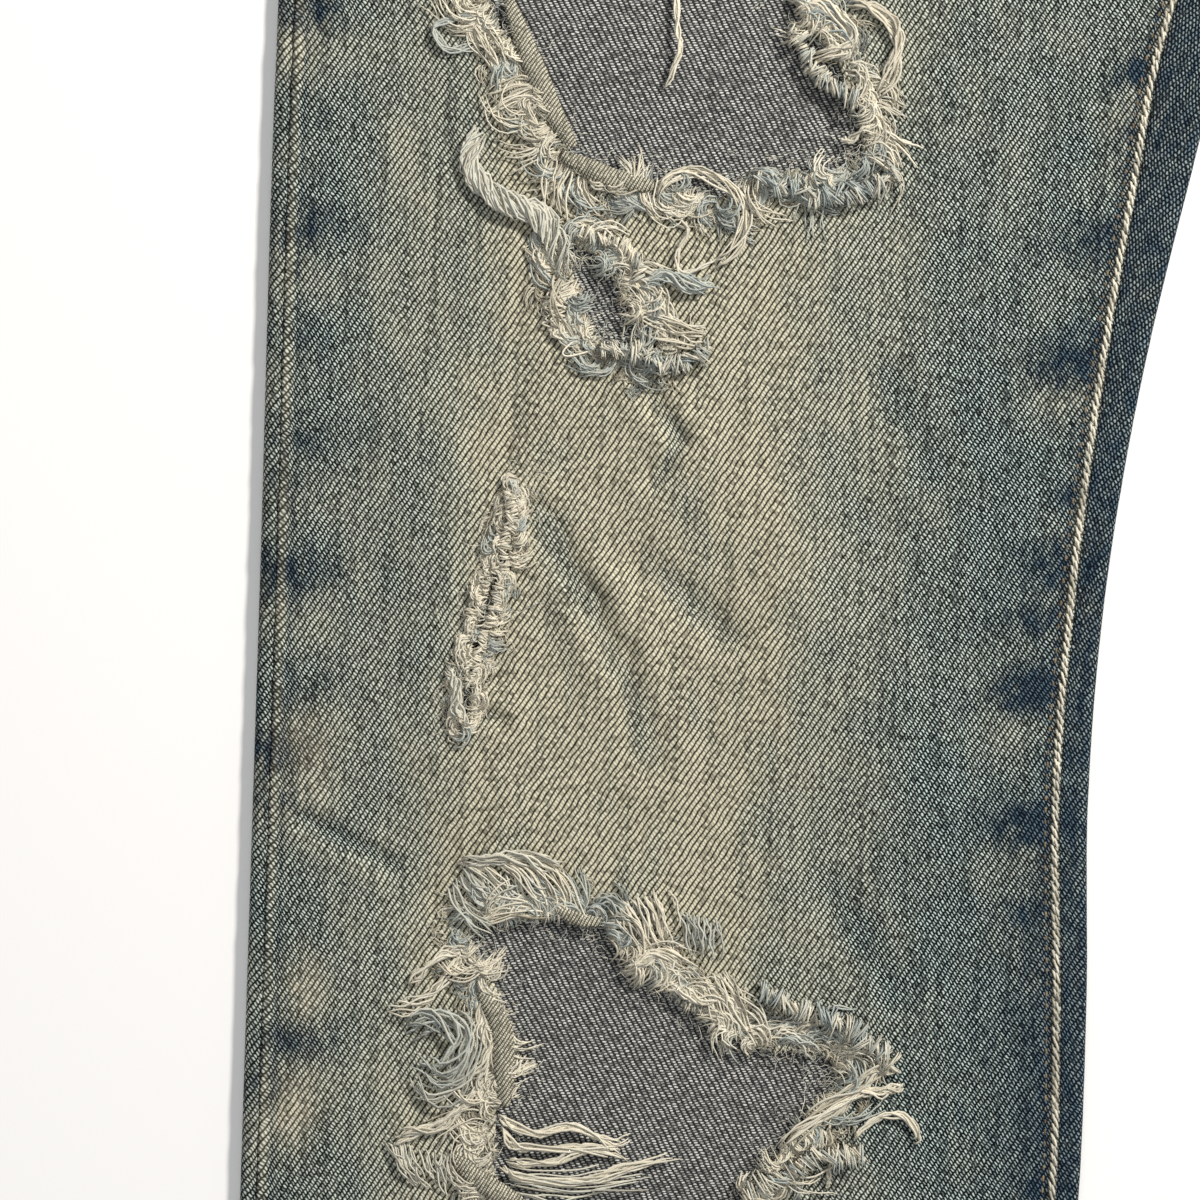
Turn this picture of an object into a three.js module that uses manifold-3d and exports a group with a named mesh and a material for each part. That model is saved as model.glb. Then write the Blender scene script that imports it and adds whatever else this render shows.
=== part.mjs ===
// Ripped jeans, laid flat on a table with the front up.
//
// Millimetres. +X is the wearer's left, +Y runs up the legs to the waist, +Z points away from the table.
// The garment is drawn about its crotch, at (0, 0), and is moved at the end so that the origin is
// the middle of its bounding box on the table.
//
// Each leg is a flattened tube. The back panel lies on the table and comes round both side folds on to
// the front, where it meets the front panel at the outseam and the inseam. Every panel is a wall of cloth,
// made from a grid of points on its middle surface.

import * as THREE from 'three';
import { mergeVertices } from 'three/addons/utils/BufferGeometryUtils.js';
import Module from 'manifold-3d';

const wasm = await Module();
wasm.setup();

// ---------------------------------------------------------------- driving dimensions

const CLOTH = 1.2; // denim wall
const GAP = 0.3; // clearance between pieces at a seam
const LEG_HEIGHT = 5.6; // of a leg at its side folds, over both layers

const HEM_Y = -810; // inside leg length
const HEM_TURN = 15; // depth of the turned hem
const HEM_CLOTH = 2.1; // wall of the turned hem
const CROTCH_END_Y = -4; // where the inner fold of a leg ends, just under the crotch

const SIDE_WAIST_Y = 217; // waist seam at the side folds
const FRONT_DIP = 12; // the waist seam falls by this at the centre front
const BACK_RISE = 22; // and rises by this at the centre back
const WAIST_HALF = 228; // half width of the garment at the waist seam

const YOKE_CENTRE_Y = 160; // yoke seam at the centre back
const YOKE_SIDE_RISE = 22; // and how much higher it is at the side

const BAND_WIDTH = 38; // waistband
const BAND_CLOTH = 2.0;
const BAND_HEIGHT = 6.3; // top of its front layer
const BAND_UNDER_END = 30; // the right end runs this far past the centre, underneath
const BAND_OVER_END = -20; // the left end runs this far past it, on top
const BAND_STEP_FROM = 62; // where the left end starts to climb on to the right one
const BAND_STEP_TO = 38;

const LOOP_WIDTH = 12; // belt loops
const LOOP_BELOW = 12; // their reach below the waistband
const LOOP_LIFT = CLOTH + GAP; // how far the loops behind raise the cloth that lies on them
const FRONT_LOOP_X = 108;
const BACK_LOOP_X = [-140, 0, 140];

const BUTTON_RADIUS = 8.5;
const BUTTON_HEIGHT = 2.4;
const BUTTON_X = -6;

const OUTSEAM_TURN = 4.5; // from the outer fold in to the outseam, on the front
const SINK = 2.0; // how far the front panel sinks between its seams
const SINK_REACH = 34; // over this distance from a seam

// Half outlines of the laid garment, from the hem up, as [y, distance from the centre line].
const OUTER_FOLD = smoothLine([
  [-810, 331], [-452, 320], [-296, 315], [-140, 310], [0, 301], [80, 284], [150, 261], [217, 228], [260, 204],
]);
const INNER_FOLD = smoothLine([
  [-810, 126], [-452, 101], [-400, 98.9], [-348, 98.5], [-296, 94.2], [-244, 85.6], [-192, 73.4],
  [-140, 58.6], [-4, 1.7],
]);
// From the inner fold in to the inseam, on the front, as [y, distance].
const INSEAM_TURN = smoothLine([
  [-810, 5.5], [-452, 6.2], [-400, 7.1], [-348, 7.7], [-296, 8.0], [-244, 9.9], [-192, 13.3], [-140, 16.9],
  [-60, 14], [-25, 8], [-4, 3.4],
]);

// The seat pockets, as corners of the right-hand half seen from the front.
const SEAT_POCKET = [[50, 0], [112, -16], [178, 10], [190, 146], [48, 132]];
const SEAT_POCKET_LIFT = CLOTH + GAP;

// The mouth of a front pocket: a curve from the waistband to the outseam.
const MOUTH_TOP = [112, 262];
const MOUTH_BEND = [118, 132];
const MOUTH_SIDE = [340, 126];

// Rips in the right front panel, as closed outlines round the missing cloth.
const UPPER_RIP = [
  [-256, -134], [-251, -148], [-243, -160], [-240, -171], [-231, -183], [-211, -186.5], [-194, -191],
  [-185, -185], [-159, -181.5], [-161, -162], [-174, -142], [-187, -121], [-213, -109], [-243, -115],
];
const SMALL_HOLE = [
  [-235, -203], [-226, -207.5], [-217, -221], [-210, -229.5], [-223, -230.5], [-229, -223.5], [-232.5, -213],
];
const SLIT = [
  [-248, -264], [-250.5, -286], [-256, -307], [-261.5, -332], [-263.5, -331], [-258.5, -306], [-253, -285],
];
const LOWER_RIP = [
  [-260, -382], [-244, -379.5], [-227, -380], [-220, -388], [-204, -402], [-184, -413], [-169, -414],
  [-164.5, -421.5], [-174, -433], [-186, -449], [-199, -468], [-215, -485], [-237, -479], [-251, -461],
  [-254, -437], [-249.5, -416], [-252, -401],
];
const RIPS = [UPPER_RIP, SMALL_HOLE, SLIT, LOWER_RIP];
const RIP_STEPS = 2; // between two points of an outline

// Soft folds: a ridge (or a trough, where the height is below zero) along a line.
const FOLDS_RIGHT = [
  { from: [-241, -262], to: [-217, -345], width: 15, height: -0.9 },
  { from: [-208, -290], to: [-178, -316], width: 13, height: -0.7 },
  { from: [-190, -268], to: [-148, -345], width: 20, height: 2.4 },
  { from: [-222, -232], to: [-200, -260], width: 12, height: -0.7 },
  { from: [-304, -345], to: [-272, -368], width: 12, height: -1.0 },
  { from: [-292, -330], to: [-294, -420], width: 14, height: 1.3 },
  { from: [-276, -250], to: [-262, -352], width: 16, height: 1.6 },
  { from: [-262, -560], to: [-170, -610], width: 26, height: 2.2 },
  { from: [-290, -690], to: [-220, -720], width: 22, height: 1.6 },
  { from: [-60, -60], to: [-190, -40], width: 22, height: 2.2 },
  { from: [-50, -20], to: [-150, 30], width: 20, height: 1.8 },
];
const FOLDS_LEFT = [
  { from: [130, -330], to: [215, -380], width: 24, height: 2.2 },
  { from: [260, -300], to: [190, -420], width: 22, height: 1.8 },
  { from: [170, -560], to: [265, -600], width: 26, height: 2.2 },
  { from: [220, -700], to: [295, -735], width: 22, height: 1.6 },
  { from: [60, -60], to: [190, -44], width: 22, height: 2.2 },
  { from: [50, -18], to: [152, 26], width: 20, height: 1.8 },
];

const DENIM = { color: 0x7c8078, roughness: 0.95, metalness: 0 };
const COPPER = { color: 0x8a6a4c, roughness: 0.45, metalness: 1 };

// ---------------------------------------------------------------- small helpers

// A function through [input, output] pairs: smooth between them, straight past the ends.
function smoothLine(pairs) {
  const slopes = pairs.map((pair, i) => {
    const before = pairs[Math.max(i - 1, 0)];
    const after = pairs[Math.min(i + 1, pairs.length - 1)];
    return (after[1] - before[1]) / (after[0] - before[0]);
  });
  return (input) => {
    let i = 0;
    while (i < pairs.length - 2 && input > pairs[i + 1][0]) {
      i += 1;
    }
    const [x0, y0] = pairs[i];
    const [x1, y1] = pairs[i + 1];
    const span = x1 - x0;
    if (input < x0) {
      return y0 + (input - x0) * slopes[i];
    }
    if (input > x1) {
      return y1 + (input - x1) * slopes[i + 1];
    }
    const t = (input - x0) / span;
    const s = 1 - t;
    return (1 + 2 * t) * s * s * y0 + t * s * s * span * slopes[i]
      + t * t * (3 - 2 * t) * y1 - t * t * s * span * slopes[i + 1];
  };
}

function mix(a, b, t) {
  return a + (b - a) * t;
}

function steps(count) {
  return Array.from({ length: count + 1 }, (_, i) => i / count);
}

function distanceToSegment(x, y, a, b) {
  const length2 = (b[0] - a[0]) ** 2 + (b[1] - a[1]) ** 2;
  const along = ((x - a[0]) * (b[0] - a[0]) + (y - a[1]) * (b[1] - a[1])) / length2;
  const t = THREE.MathUtils.clamp(along, 0, 1);
  return Math.hypot(x - mix(a[0], b[0], t), y - mix(a[1], b[1], t));
}

function insidePolygon(x, y, corners) {
  let inside = false;
  corners.forEach((a, i) => {
    const b = corners[(i + 1) % corners.length];
    if ((a[1] > y) !== (b[1] > y) && x < a[0] + ((y - a[1]) / (b[1] - a[1])) * (b[0] - a[0])) {
      inside = !inside;
    }
  });
  return inside;
}

// A closed wall of cloth round a grid of points on its middle surface.
function wall(grid, thicknessAt) {
  const rows = grid.length;
  const columns = grid[0].length;
  const at = (r, c) => grid[THREE.MathUtils.clamp(r, 0, rows - 1)][THREE.MathUtils.clamp(c, 0, columns - 1)];
  const positions = [];
  for (const face of [1, -1]) {
    for (let r = 0; r < rows; r += 1) {
      for (let c = 0; c < columns; c += 1) {
        const across = at(r, c + 1).clone().sub(at(r, c - 1));
        const along = at(r + 1, c).clone().sub(at(r - 1, c));
        const normal = across.cross(along).normalize();
        const point = grid[r][c].clone().addScaledVector(normal, (face * thicknessAt(r, c)) / 2);
        positions.push(point.x, point.y, point.z);
      }
    }
  }
  const top = (r, c) => r * columns + c;
  const under = (r, c) => rows * columns + top(r, c);
  const triangles = [];
  const quad = (a, b, c, d) => triangles.push(a, b, c, a, c, d);
  for (let r = 0; r < rows - 1; r += 1) {
    for (let c = 0; c < columns - 1; c += 1) {
      quad(top(r, c), top(r, c + 1), top(r + 1, c + 1), top(r + 1, c));
      quad(under(r, c), under(r + 1, c), under(r + 1, c + 1), under(r, c + 1));
    }
    quad(top(r, 0), top(r + 1, 0), under(r + 1, 0), under(r, 0));
    quad(top(r + 1, columns - 1), top(r, columns - 1), under(r, columns - 1), under(r + 1, columns - 1));
  }
  for (let c = 0; c < columns - 1; c += 1) {
    quad(top(0, c + 1), top(0, c), under(0, c), under(0, c + 1));
    quad(top(rows - 1, c), top(rows - 1, c + 1), under(rows - 1, c + 1), under(rows - 1, c));
  }
  const geometry = new THREE.BufferGeometry();
  geometry.setAttribute('position', new THREE.Float32BufferAttribute(positions, 3));
  geometry.setIndex(triangles);
  return geometry;
}

function toSolid(geometry) {
  const bare = geometry.clone();
  bare.deleteAttribute('normal');
  bare.deleteAttribute('uv');
  const merged = mergeVertices(bare, 1e-4);
  return new wasm.Manifold(new wasm.Mesh({
    numProp: 3,
    vertProperties: new Float32Array(merged.attributes.position.array),
    triVerts: new Uint32Array(merged.index.array),
  }));
}

function toGeometry(solid) {
  const mesh = solid.getMesh();
  const geometry = new THREE.BufferGeometry();
  geometry.setAttribute('position', new THREE.Float32BufferAttribute(mesh.vertProperties, 3));
  geometry.setIndex(Array.from(mesh.triVerts));
  return geometry;
}

// An upright cutter with the given outline, taller than the garment.
function cutter(shape, curveSegments) {
  const reach = 30;
  const geometry = new THREE.ExtrudeGeometry(shape, {
    depth: 2 * reach, bevelEnabled: false, curveSegments,
  });
  geometry.translate(0, 0, -reach);
  return toSolid(geometry);
}

// ---------------------------------------------------------------- the lie of the cloth

const BACK_Z = CLOTH / 2; // middle of the layer on the table
const FRONT_Z = LEG_HEIGHT - CLOTH / 2; // middle of the front layer at its seams
const FRONT_HEM_Z = 1.5 * HEM_CLOTH + 2 * GAP; // and of the front hem, lying on the back one
const FOLD_RADIUS = (FRONT_Z - BACK_Z) / 2; // of the side folds, to the middle of the cloth

// The seat pockets lie on the table, and the cloth over them is raised.
function seatLift(x, y) {
  const mirrored = Math.abs(x);
  let away = 0;
  if (!insidePolygon(mirrored, y, SEAT_POCKET)) {
    const edges = SEAT_POCKET.map((corner, i) =>
      distanceToSegment(mirrored, y, corner, SEAT_POCKET[(i + 1) % SEAT_POCKET.length]));
    away = Math.min(...edges);
  }
  return SEAT_POCKET_LIFT * (1 - THREE.MathUtils.smoothstep(away, 42, 62));
}

function foldLift(x, y, folds) {
  return folds.reduce((lift, fold) => {
    const away = distanceToSegment(x, y, fold.from, fold.to) / fold.width;
    return lift + fold.height * Math.exp(-away * away);
  }, 0);
}

// Height of the middle of the front layer, for one leg. The panel meets its seams level.
function frontHeight(x, y, side, folds) {
  const half = Math.abs(x);
  const outer = OUTER_FOLD(y) - OUTSEAM_TURN - half;
  const inner = y < 0 ? half - INNER_FOLD(y) - INSEAM_TURN(y) : SINK_REACH;
  const nearSeam = Math.min(outer, inner);
  const clear = THREE.MathUtils.smoothstep(nearSeam, 0, SINK_REACH);
  const lowBody = 1 - THREE.MathUtils.smoothstep(y, -90, -20);
  return FRONT_Z + clear * (foldLift(x, y, folds) - SINK * lowBody);
}

// Share of a curved waist seam's rise or dip: all of it at the centre, none at the sides.
function centreShare(x) {
  return 1 - Math.min(Math.abs(x) / WAIST_HALF, 1) ** 2;
}

function frontWaistY(x) {
  return SIDE_WAIST_Y - FRONT_DIP * centreShare(x);
}

function backWaistY(x) {
  return SIDE_WAIST_Y + BACK_RISE * centreShare(x);
}

function yokeSeamY(x) {
  return YOKE_CENTRE_Y + YOKE_SIDE_RISE * Math.min(Math.abs(x) / WAIST_HALF, 1);
}

// The loops behind hold the waistband off the table, and the yoke rises to meet it.
function waistLift(half, y) {
  const below = backWaistY(half) - y;
  const side = THREE.MathUtils.smoothstep(half, WAIST_HALF - 60, WAIST_HALF - 20);
  return LOOP_LIFT * (1 - side) * (1 - THREE.MathUtils.smoothstep(below, 18, 34));
}

function backHeight(half, y) {
  return BACK_Z + Math.max(seatLift(half, y), waistLift(half, y));
}

const ARC_STEPS = steps(4);
const BACK_COLUMNS = steps(9);
const FRONT_COLUMNS = steps(12);

// One row of the back layer of a leg or of the seat, from the outseam on the front, round the outer
// fold and across the table to the inseam, or to the centre back above the crotch.
function backRow(side, yAt) {
  const row = [];
  const put = (half, z, y) => row.push(new THREE.Vector3(side * half, y, z));
  const nominal = yAt(WAIST_HALF);
  const outer = OUTER_FOLD(nominal);
  const turn = FOLD_RADIUS + CLOTH / 2;
  put(outer - OUTSEAM_TURN, FRONT_Z, nominal);
  for (const t of ARC_STEPS) {
    const angle = Math.PI * (0.5 - t);
    put(
      outer - turn + FOLD_RADIUS * Math.cos(angle),
      BACK_Z + FOLD_RADIUS + FOLD_RADIUS * Math.sin(angle),
      nominal,
    );
  }
  const hasInnerFold = nominal <= CROTCH_END_Y;
  const inner = hasInnerFold ? INNER_FOLD(nominal) + turn : GAP / 2 + 8;
  for (const t of BACK_COLUMNS.slice(1, -1)) {
    const half = mix(outer - turn, inner, t);
    const y = yAt(half);
    put(half, backHeight(half, y), y);
  }
  for (const t of ARC_STEPS) {
    if (hasInnerFold) {
      const angle = Math.PI * (1.5 - t);
      put(
        inner + FOLD_RADIUS * Math.cos(angle),
        BACK_Z + FOLD_RADIUS + FOLD_RADIUS * Math.sin(angle),
        nominal,
      );
    } else {
      const half = mix(inner, GAP / 2 + 1, t);
      const y = yAt(half);
      put(half, backHeight(half, y), y);
    }
  }
  if (hasInnerFold) {
    put(INNER_FOLD(nominal) + INSEAM_TURN(nominal), FRONT_Z, nominal);
  } else {
    put(GAP / 2, backHeight(0, yAt(0)), yAt(0));
  }
  return row;
}

// ---------------------------------------------------------------- panels

const LEG_ROWS = [
  -740, -660, -580, -510, -452, -400, -348, -296, -244, -192, -140, -95, -50, CROTCH_END_Y, 0, 45, 90,
];
const HEM_ROWS = [HEM_Y, HEM_Y + HEM_TURN, HEM_Y + HEM_TURN + 2];
const SEAT_FROM_Y = 90; // above this the rows bend towards the curved seams
const YOKE_SHARES = [0, 0.45, 0.7, 1]; // rows of the yoke, as shares of its depth

// The turned hem is thicker: it keeps its underside on the table, or its inside level with the panel's.
function hemThickness(row) {
  return row < 2 ? HEM_CLOTH : CLOTH;
}

function backLeg(side) {
  const rows = [...HEM_ROWS, ...LEG_ROWS].map((y) => backRow(side, () => y));
  rows.push(backRow(side, (half) => mix(SEAT_FROM_Y, yokeSeamY(half), 0.5)));
  rows.push(backRow(side, (half) => yokeSeamY(half) - GAP / 2));
  const extra = (HEM_CLOTH - CLOTH) / 2;
  rows.slice(0, 2).forEach((row) => {
    row.slice(ARC_STEPS.length, -ARC_STEPS.length).forEach((point) => {
      point.z += extra;
    });
  });
  return wall(rows, (r) => hemThickness(r));
}

function yoke(side) {
  const rows = YOKE_SHARES.map((t) => backRow(side, (half) =>
    mix(yokeSeamY(half) + GAP, backWaistY(half) - GAP, t)));
  return wall(rows, () => CLOTH);
}

// One row of the front panel, from the outseam to the inseam, or to the centre front above the crotch.
function frontRow(side, folds, yAt) {
  const nominal = yAt(WAIST_HALF);
  const outer = OUTER_FOLD(nominal) - OUTSEAM_TURN - GAP;
  const inner = nominal <= CROTCH_END_Y + GAP
    ? INNER_FOLD(nominal) + INSEAM_TURN(nominal) + GAP
    : GAP / 2;
  return FRONT_COLUMNS.map((t) => {
    const half = mix(outer, inner, t);
    const y = yAt(half);
    return new THREE.Vector3(side * half, y, frontHeight(side * half, y, side, folds));
  });
}

// The panel's rows stand level with the rows of the back at the outseam, and dip towards the centre front.
function frontLeg(side, folds) {
  const legRows = LEG_ROWS.map((y) => (y === CROTCH_END_Y ? CROTCH_END_Y + GAP : y));
  const rows = [...HEM_ROWS, ...legRows].map((y) => frontRow(side, folds, () => y));
  const yokeSideY = yokeSeamY(WAIST_HALF);
  const seatRows = YOKE_SHARES.map((t) => mix(yokeSideY, SIDE_WAIST_Y - GAP, t));
  for (const sideY of [mix(SEAT_FROM_Y, yokeSideY, 0.5), ...seatRows]) {
    const share = (sideY - SEAT_FROM_Y) / (SIDE_WAIST_Y - SEAT_FROM_Y);
    rows.push(frontRow(side, folds, (half) => sideY - share * (SIDE_WAIST_Y - frontWaistY(half))));
  }
  rows.slice(0, 2).forEach((row) => row.forEach((point) => {
    point.z = Math.max(point.z, FRONT_HEM_Z);
  }));
  return wall(rows, (r) => hemThickness(r));
}

// The cloth outside the curve of a pocket mouth, drawn in from the curve by the given distance.
function mouthShape(side, inset) {
  const shape = new THREE.Shape();
  shape.moveTo(side * (MOUTH_TOP[0] + inset), MOUTH_TOP[1]);
  shape.quadraticCurveTo(
    side * (MOUTH_BEND[0] + inset), MOUTH_BEND[1] + inset,
    side * MOUTH_SIDE[0], MOUTH_SIDE[1] + inset,
  );
  shape.lineTo(side * MOUTH_SIDE[0], MOUTH_TOP[1]);
  return shape;
}

function ripShape(outline) {
  const shape = new THREE.Shape();
  const points = outline.map(([x, y]) => new THREE.Vector2(x, y));
  shape.moveTo(points[0].x, points[0].y);
  shape.splineThru([...points.slice(1), points[0]]);
  return shape;
}

function frontPieces(side, folds, rips) {
  const whole = toSolid(frontLeg(side, folds));
  let panel = whole.subtract(cutter(mouthShape(side, 0), 10));
  const facing = whole.intersect(cutter(mouthShape(side, GAP), 10));
  for (const outline of rips) {
    panel = panel.subtract(cutter(ripShape(outline), RIP_STEPS));
  }
  return { panel: toGeometry(panel), facing: toGeometry(facing) };
}

function seatPocket(side) {
  const shape = new THREE.Shape(SEAT_POCKET.map(([x, y]) => new THREE.Vector2(side * x, y)));
  return new THREE.ExtrudeGeometry(shape, { depth: CLOTH, bevelEnabled: false });
}

// ---------------------------------------------------------------- waistband, loops and button

const BAND_BACK_Z = LOOP_LIFT + BAND_CLOTH / 2;
const BAND_FRONT_Z = BAND_HEIGHT - BAND_CLOTH / 2;
const BAND_RADIUS = (BAND_FRONT_Z - BAND_BACK_Z) / 2;
const BAND_OVER_Z = BAND_FRONT_Z + BAND_CLOTH + GAP;
const BAND_FLAT_HALF = WAIST_HALF - BAND_RADIUS - BAND_CLOTH / 2;

// The band's fold at one side, from its front layer to its back layer.
function bandFold(side) {
  return ARC_STEPS.map((t) => {
    const angle = Math.PI * (0.5 - t);
    return {
      x: side * (BAND_FLAT_HALF + BAND_RADIUS * Math.cos(angle)),
      y: SIDE_WAIST_Y,
      z: BAND_BACK_Z + BAND_RADIUS + BAND_RADIUS * Math.sin(angle),
    };
  });
}

// The band runs from its right end, under the closure, round the back and on to its left end.
function waistband() {
  const front = (z, ...xs) => xs.map((x) => ({ x, y: frontWaistY(x), z }));
  const back = (...xs) => xs.map((x) => ({ x, y: backWaistY(x), z: BAND_BACK_Z }));
  const stations = [
    ...front(BAND_FRONT_Z, BAND_UNDER_END, 0, -35, -70, -FRONT_LOOP_X, -146, -185),
    ...bandFold(-1),
    ...back(-190, -165, -140, -105, -70, -35, 0, 35, 70, 105, 140, 165, 190),
    ...bandFold(1).reverse(),
    ...front(BAND_FRONT_Z, 185, 146, FRONT_LOOP_X, BAND_STEP_FROM),
    ...front(BAND_OVER_Z, BAND_STEP_TO, 10, BAND_OVER_END),
  ];
  const lower = stations.map(({ x, y, z }) => new THREE.Vector3(x, y + GAP / 2, z));
  const narrowing = OUTER_FOLD(SIDE_WAIST_Y + BAND_WIDTH) / WAIST_HALF;
  const upper = stations.map(({ x, y, z }) => {
    const narrow = mix(1, narrowing, (x / BAND_FLAT_HALF) ** 2);
    return new THREE.Vector3(x * narrow, y + BAND_WIDTH, z);
  });
  return wall([lower, upper], () => BAND_CLOTH);
}

// A loop is a short strap down over the band: its lower end lies on the panel below.
function beltLoop(x, seamY, bandZ, panelZ) {
  const stations = [
    [seamY + BAND_WIDTH, bandZ], [seamY + BAND_WIDTH / 2, bandZ], [seamY - 1, bandZ],
    [seamY - 6, panelZ], [seamY - LOOP_BELOW, panelZ],
  ];
  return wall(stations.map(([y, z]) => [
    new THREE.Vector3(x - LOOP_WIDTH / 2, y, z),
    new THREE.Vector3(x + LOOP_WIDTH / 2, y, z),
  ]), () => CLOTH);
}

// A button with a rolled rim and a dished face.
function waistButton() {
  const rim = 1.1;
  const face = BUTTON_HEIGHT - 0.7;
  const profile = [
    [0, 0], [BUTTON_RADIUS - rim, 0], [BUTTON_RADIUS, BUTTON_HEIGHT * 0.45],
    [BUTTON_RADIUS - 0.5, BUTTON_HEIGHT * 0.85], [BUTTON_RADIUS - rim, BUTTON_HEIGHT],
    [BUTTON_RADIUS - 2 * rim, face], [0, face],
  ].map(([r, z]) => new THREE.Vector2(r, z));
  const geometry = new THREE.LatheGeometry(profile, 20);
  geometry.rotateX(Math.PI / 2);
  return geometry;
}

// ---------------------------------------------------------------- the garment

const garment = new THREE.Group();

function add(name, geometry, look, position) {
  const piece = new THREE.Mesh(geometry, new THREE.MeshStandardMaterial(look));
  piece.name = name;
  if (position) {
    piece.position.set(...position);
  }
  garment.add(piece);
}

for (const [word, side, folds, rips] of [['right', -1, FOLDS_RIGHT, RIPS], ['left', 1, FOLDS_LEFT, []]]) {
  const front = frontPieces(side, folds, rips);
  add(`front_leg_${word}`, front.panel, DENIM);
  add(`pocket_facing_${word}`, front.facing, DENIM);
  add(`back_leg_${word}`, backLeg(side), DENIM);
  add(`yoke_${word}`, yoke(side), DENIM);
  add(`back_pocket_${word}`, seatPocket(side), DENIM);
}

add('waistband', waistband(), DENIM);

const loopTop = BAND_HEIGHT + GAP + CLOTH / 2;
const loops = [
  ...[-FRONT_LOOP_X, FRONT_LOOP_X].map((x) =>
    [x, frontWaistY(x), loopTop, LEG_HEIGHT + GAP + CLOTH / 2]),
  ...BACK_LOOP_X.map((x) => [x, backWaistY(x), BACK_Z, BACK_Z]),
];
loops.forEach((loop, i) => add(`belt_loop_${i + 1}`, beltLoop(...loop), DENIM));

const buttonY = frontWaistY(BUTTON_X) + BAND_WIDTH / 2;
const buttonZ = BAND_OVER_Z + BAND_CLOTH / 2 + GAP;
add('waist_button', waistButton(), COPPER, [BUTTON_X, buttonY, buttonZ]);

const topY = backWaistY(0) + BAND_WIDTH;
garment.position.set(0, -(HEM_Y + topY) / 2, 0);

export default garment;
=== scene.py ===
"""Ripped jeans, laid flat with the front up: the cloth, seams, frayed rips and stage.

Everything is drawn in millimetres about the crotch of the garment, with +X towards the wearer's
left, +Y up the legs and +Z away from the table, and is turned into metres in the frame of the part
when a mesh is made.
"""

import math

import bpy
import numpy as np
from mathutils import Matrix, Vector
from mathutils.geometry import delaunay_2d_cdt


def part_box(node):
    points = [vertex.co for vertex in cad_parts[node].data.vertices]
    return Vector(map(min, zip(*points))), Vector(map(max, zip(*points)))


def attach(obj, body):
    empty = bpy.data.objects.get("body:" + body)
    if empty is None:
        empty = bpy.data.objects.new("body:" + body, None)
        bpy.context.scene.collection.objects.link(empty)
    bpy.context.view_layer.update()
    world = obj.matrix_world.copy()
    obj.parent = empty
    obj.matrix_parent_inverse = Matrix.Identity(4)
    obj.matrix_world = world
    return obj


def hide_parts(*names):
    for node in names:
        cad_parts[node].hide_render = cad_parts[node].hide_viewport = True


bl_info = {
    "name": "Ripped Jeans",
    "version": (1, 0, 0),
    "blender": (4, 5, 0),
    "location": "View3D > Sidebar > Jeans",
    "description": "Builds a pair of frayed denim jeans laid flat, piece by piece",
    "category": "Object",
}

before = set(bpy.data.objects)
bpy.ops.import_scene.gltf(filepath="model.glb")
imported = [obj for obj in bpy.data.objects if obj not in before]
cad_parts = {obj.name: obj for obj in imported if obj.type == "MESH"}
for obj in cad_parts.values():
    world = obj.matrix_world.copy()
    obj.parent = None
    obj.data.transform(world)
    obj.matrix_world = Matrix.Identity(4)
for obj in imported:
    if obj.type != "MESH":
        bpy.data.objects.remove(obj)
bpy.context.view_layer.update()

# ------------------------------------------------------------------ sizes of the cut, in millimetres

MM = 0.001
GAP = 0.3  # between pieces at a seam
HEM_Y = -810.0
HEM_TURN = 15.0
CROTCH_END_Y = -4.0
SIDE_WAIST_Y = 217.0
FRONT_DIP = 12.0
BACK_RISE = 22.0
WAIST_HALF = 228.0
YOKE_CENTRE_Y = 160.0
YOKE_SIDE_RISE = 22.0
SEAT_FROM_Y = 90.0
BAND_WIDTH = 38.0
BAND_CLOTH = 2.0
BAND_TOP = 6.3
LEG_HEIGHT = 5.6
OUTSEAM_TURN = 4.5
SINK = 2.0
SINK_REACH = 34.0
POCKET_LIFT = 1.5
LOOP_LIFT = 1.5
FRONT_LOOP_X = 108.0
BACK_LOOP_X = (-140.0, 0.0, 140.0)
SEAT_POCKET = ((50, 0), (112, -16), (178, 10), (190, 146), (48, 132))
MOUTH_TOP = (112.0, 262.0)
MOUTH_BEND = (118.0, 132.0)
MOUTH_SIDE = (340.0, 126.0)

# The origin of the part is the middle of its box, this far up from the crotch.
GARMENT_SHIFT = -(HEM_Y + SIDE_WAIST_Y + BACK_RISE + BAND_WIDTH) / 2
FLOOR_Z = -0.25

UNDER_SINK = 0.3  # how deep the stitches of the table side lie in the cloth
RIDGE_PITCH = 2.5  # from one float to the next along a felled edge
SPOT_PITCH = 23.0  # from one navy spot to the next beside a seam

# Part of the right leg that carries the rips and gets the finest mesh: lowest and highest y.
WORN_Y = (-475.0, -95.0)


def smooth_line(pairs):
    """A function through (input, output) pairs, smooth between them and straight past the ends."""
    xs, ys = np.array(pairs, float).T
    n = len(xs)
    before = np.maximum(np.arange(n) - 1, 0)
    after = np.minimum(np.arange(n) + 1, n - 1)
    slopes = (ys[after] - ys[before]) / (xs[after] - xs[before])

    def at(x):
        x = np.asarray(x, float)
        i = np.clip(np.searchsorted(xs, x) - 1, 0, n - 2)
        span = xs[i + 1] - xs[i]
        t = np.clip((x - xs[i]) / span, 0, 1)
        s = 1 - t
        inside = ((1 + 2 * t) * s * s * ys[i] + t * s * s * span * slopes[i]
                  + t * t * (3 - 2 * t) * ys[i + 1] - t * t * s * span * slopes[i + 1])
        low = np.minimum(x - xs[0], 0) * slopes[0]
        high = np.maximum(x - xs[-1], 0) * slopes[-1]
        return inside + low + high

    return at


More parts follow.
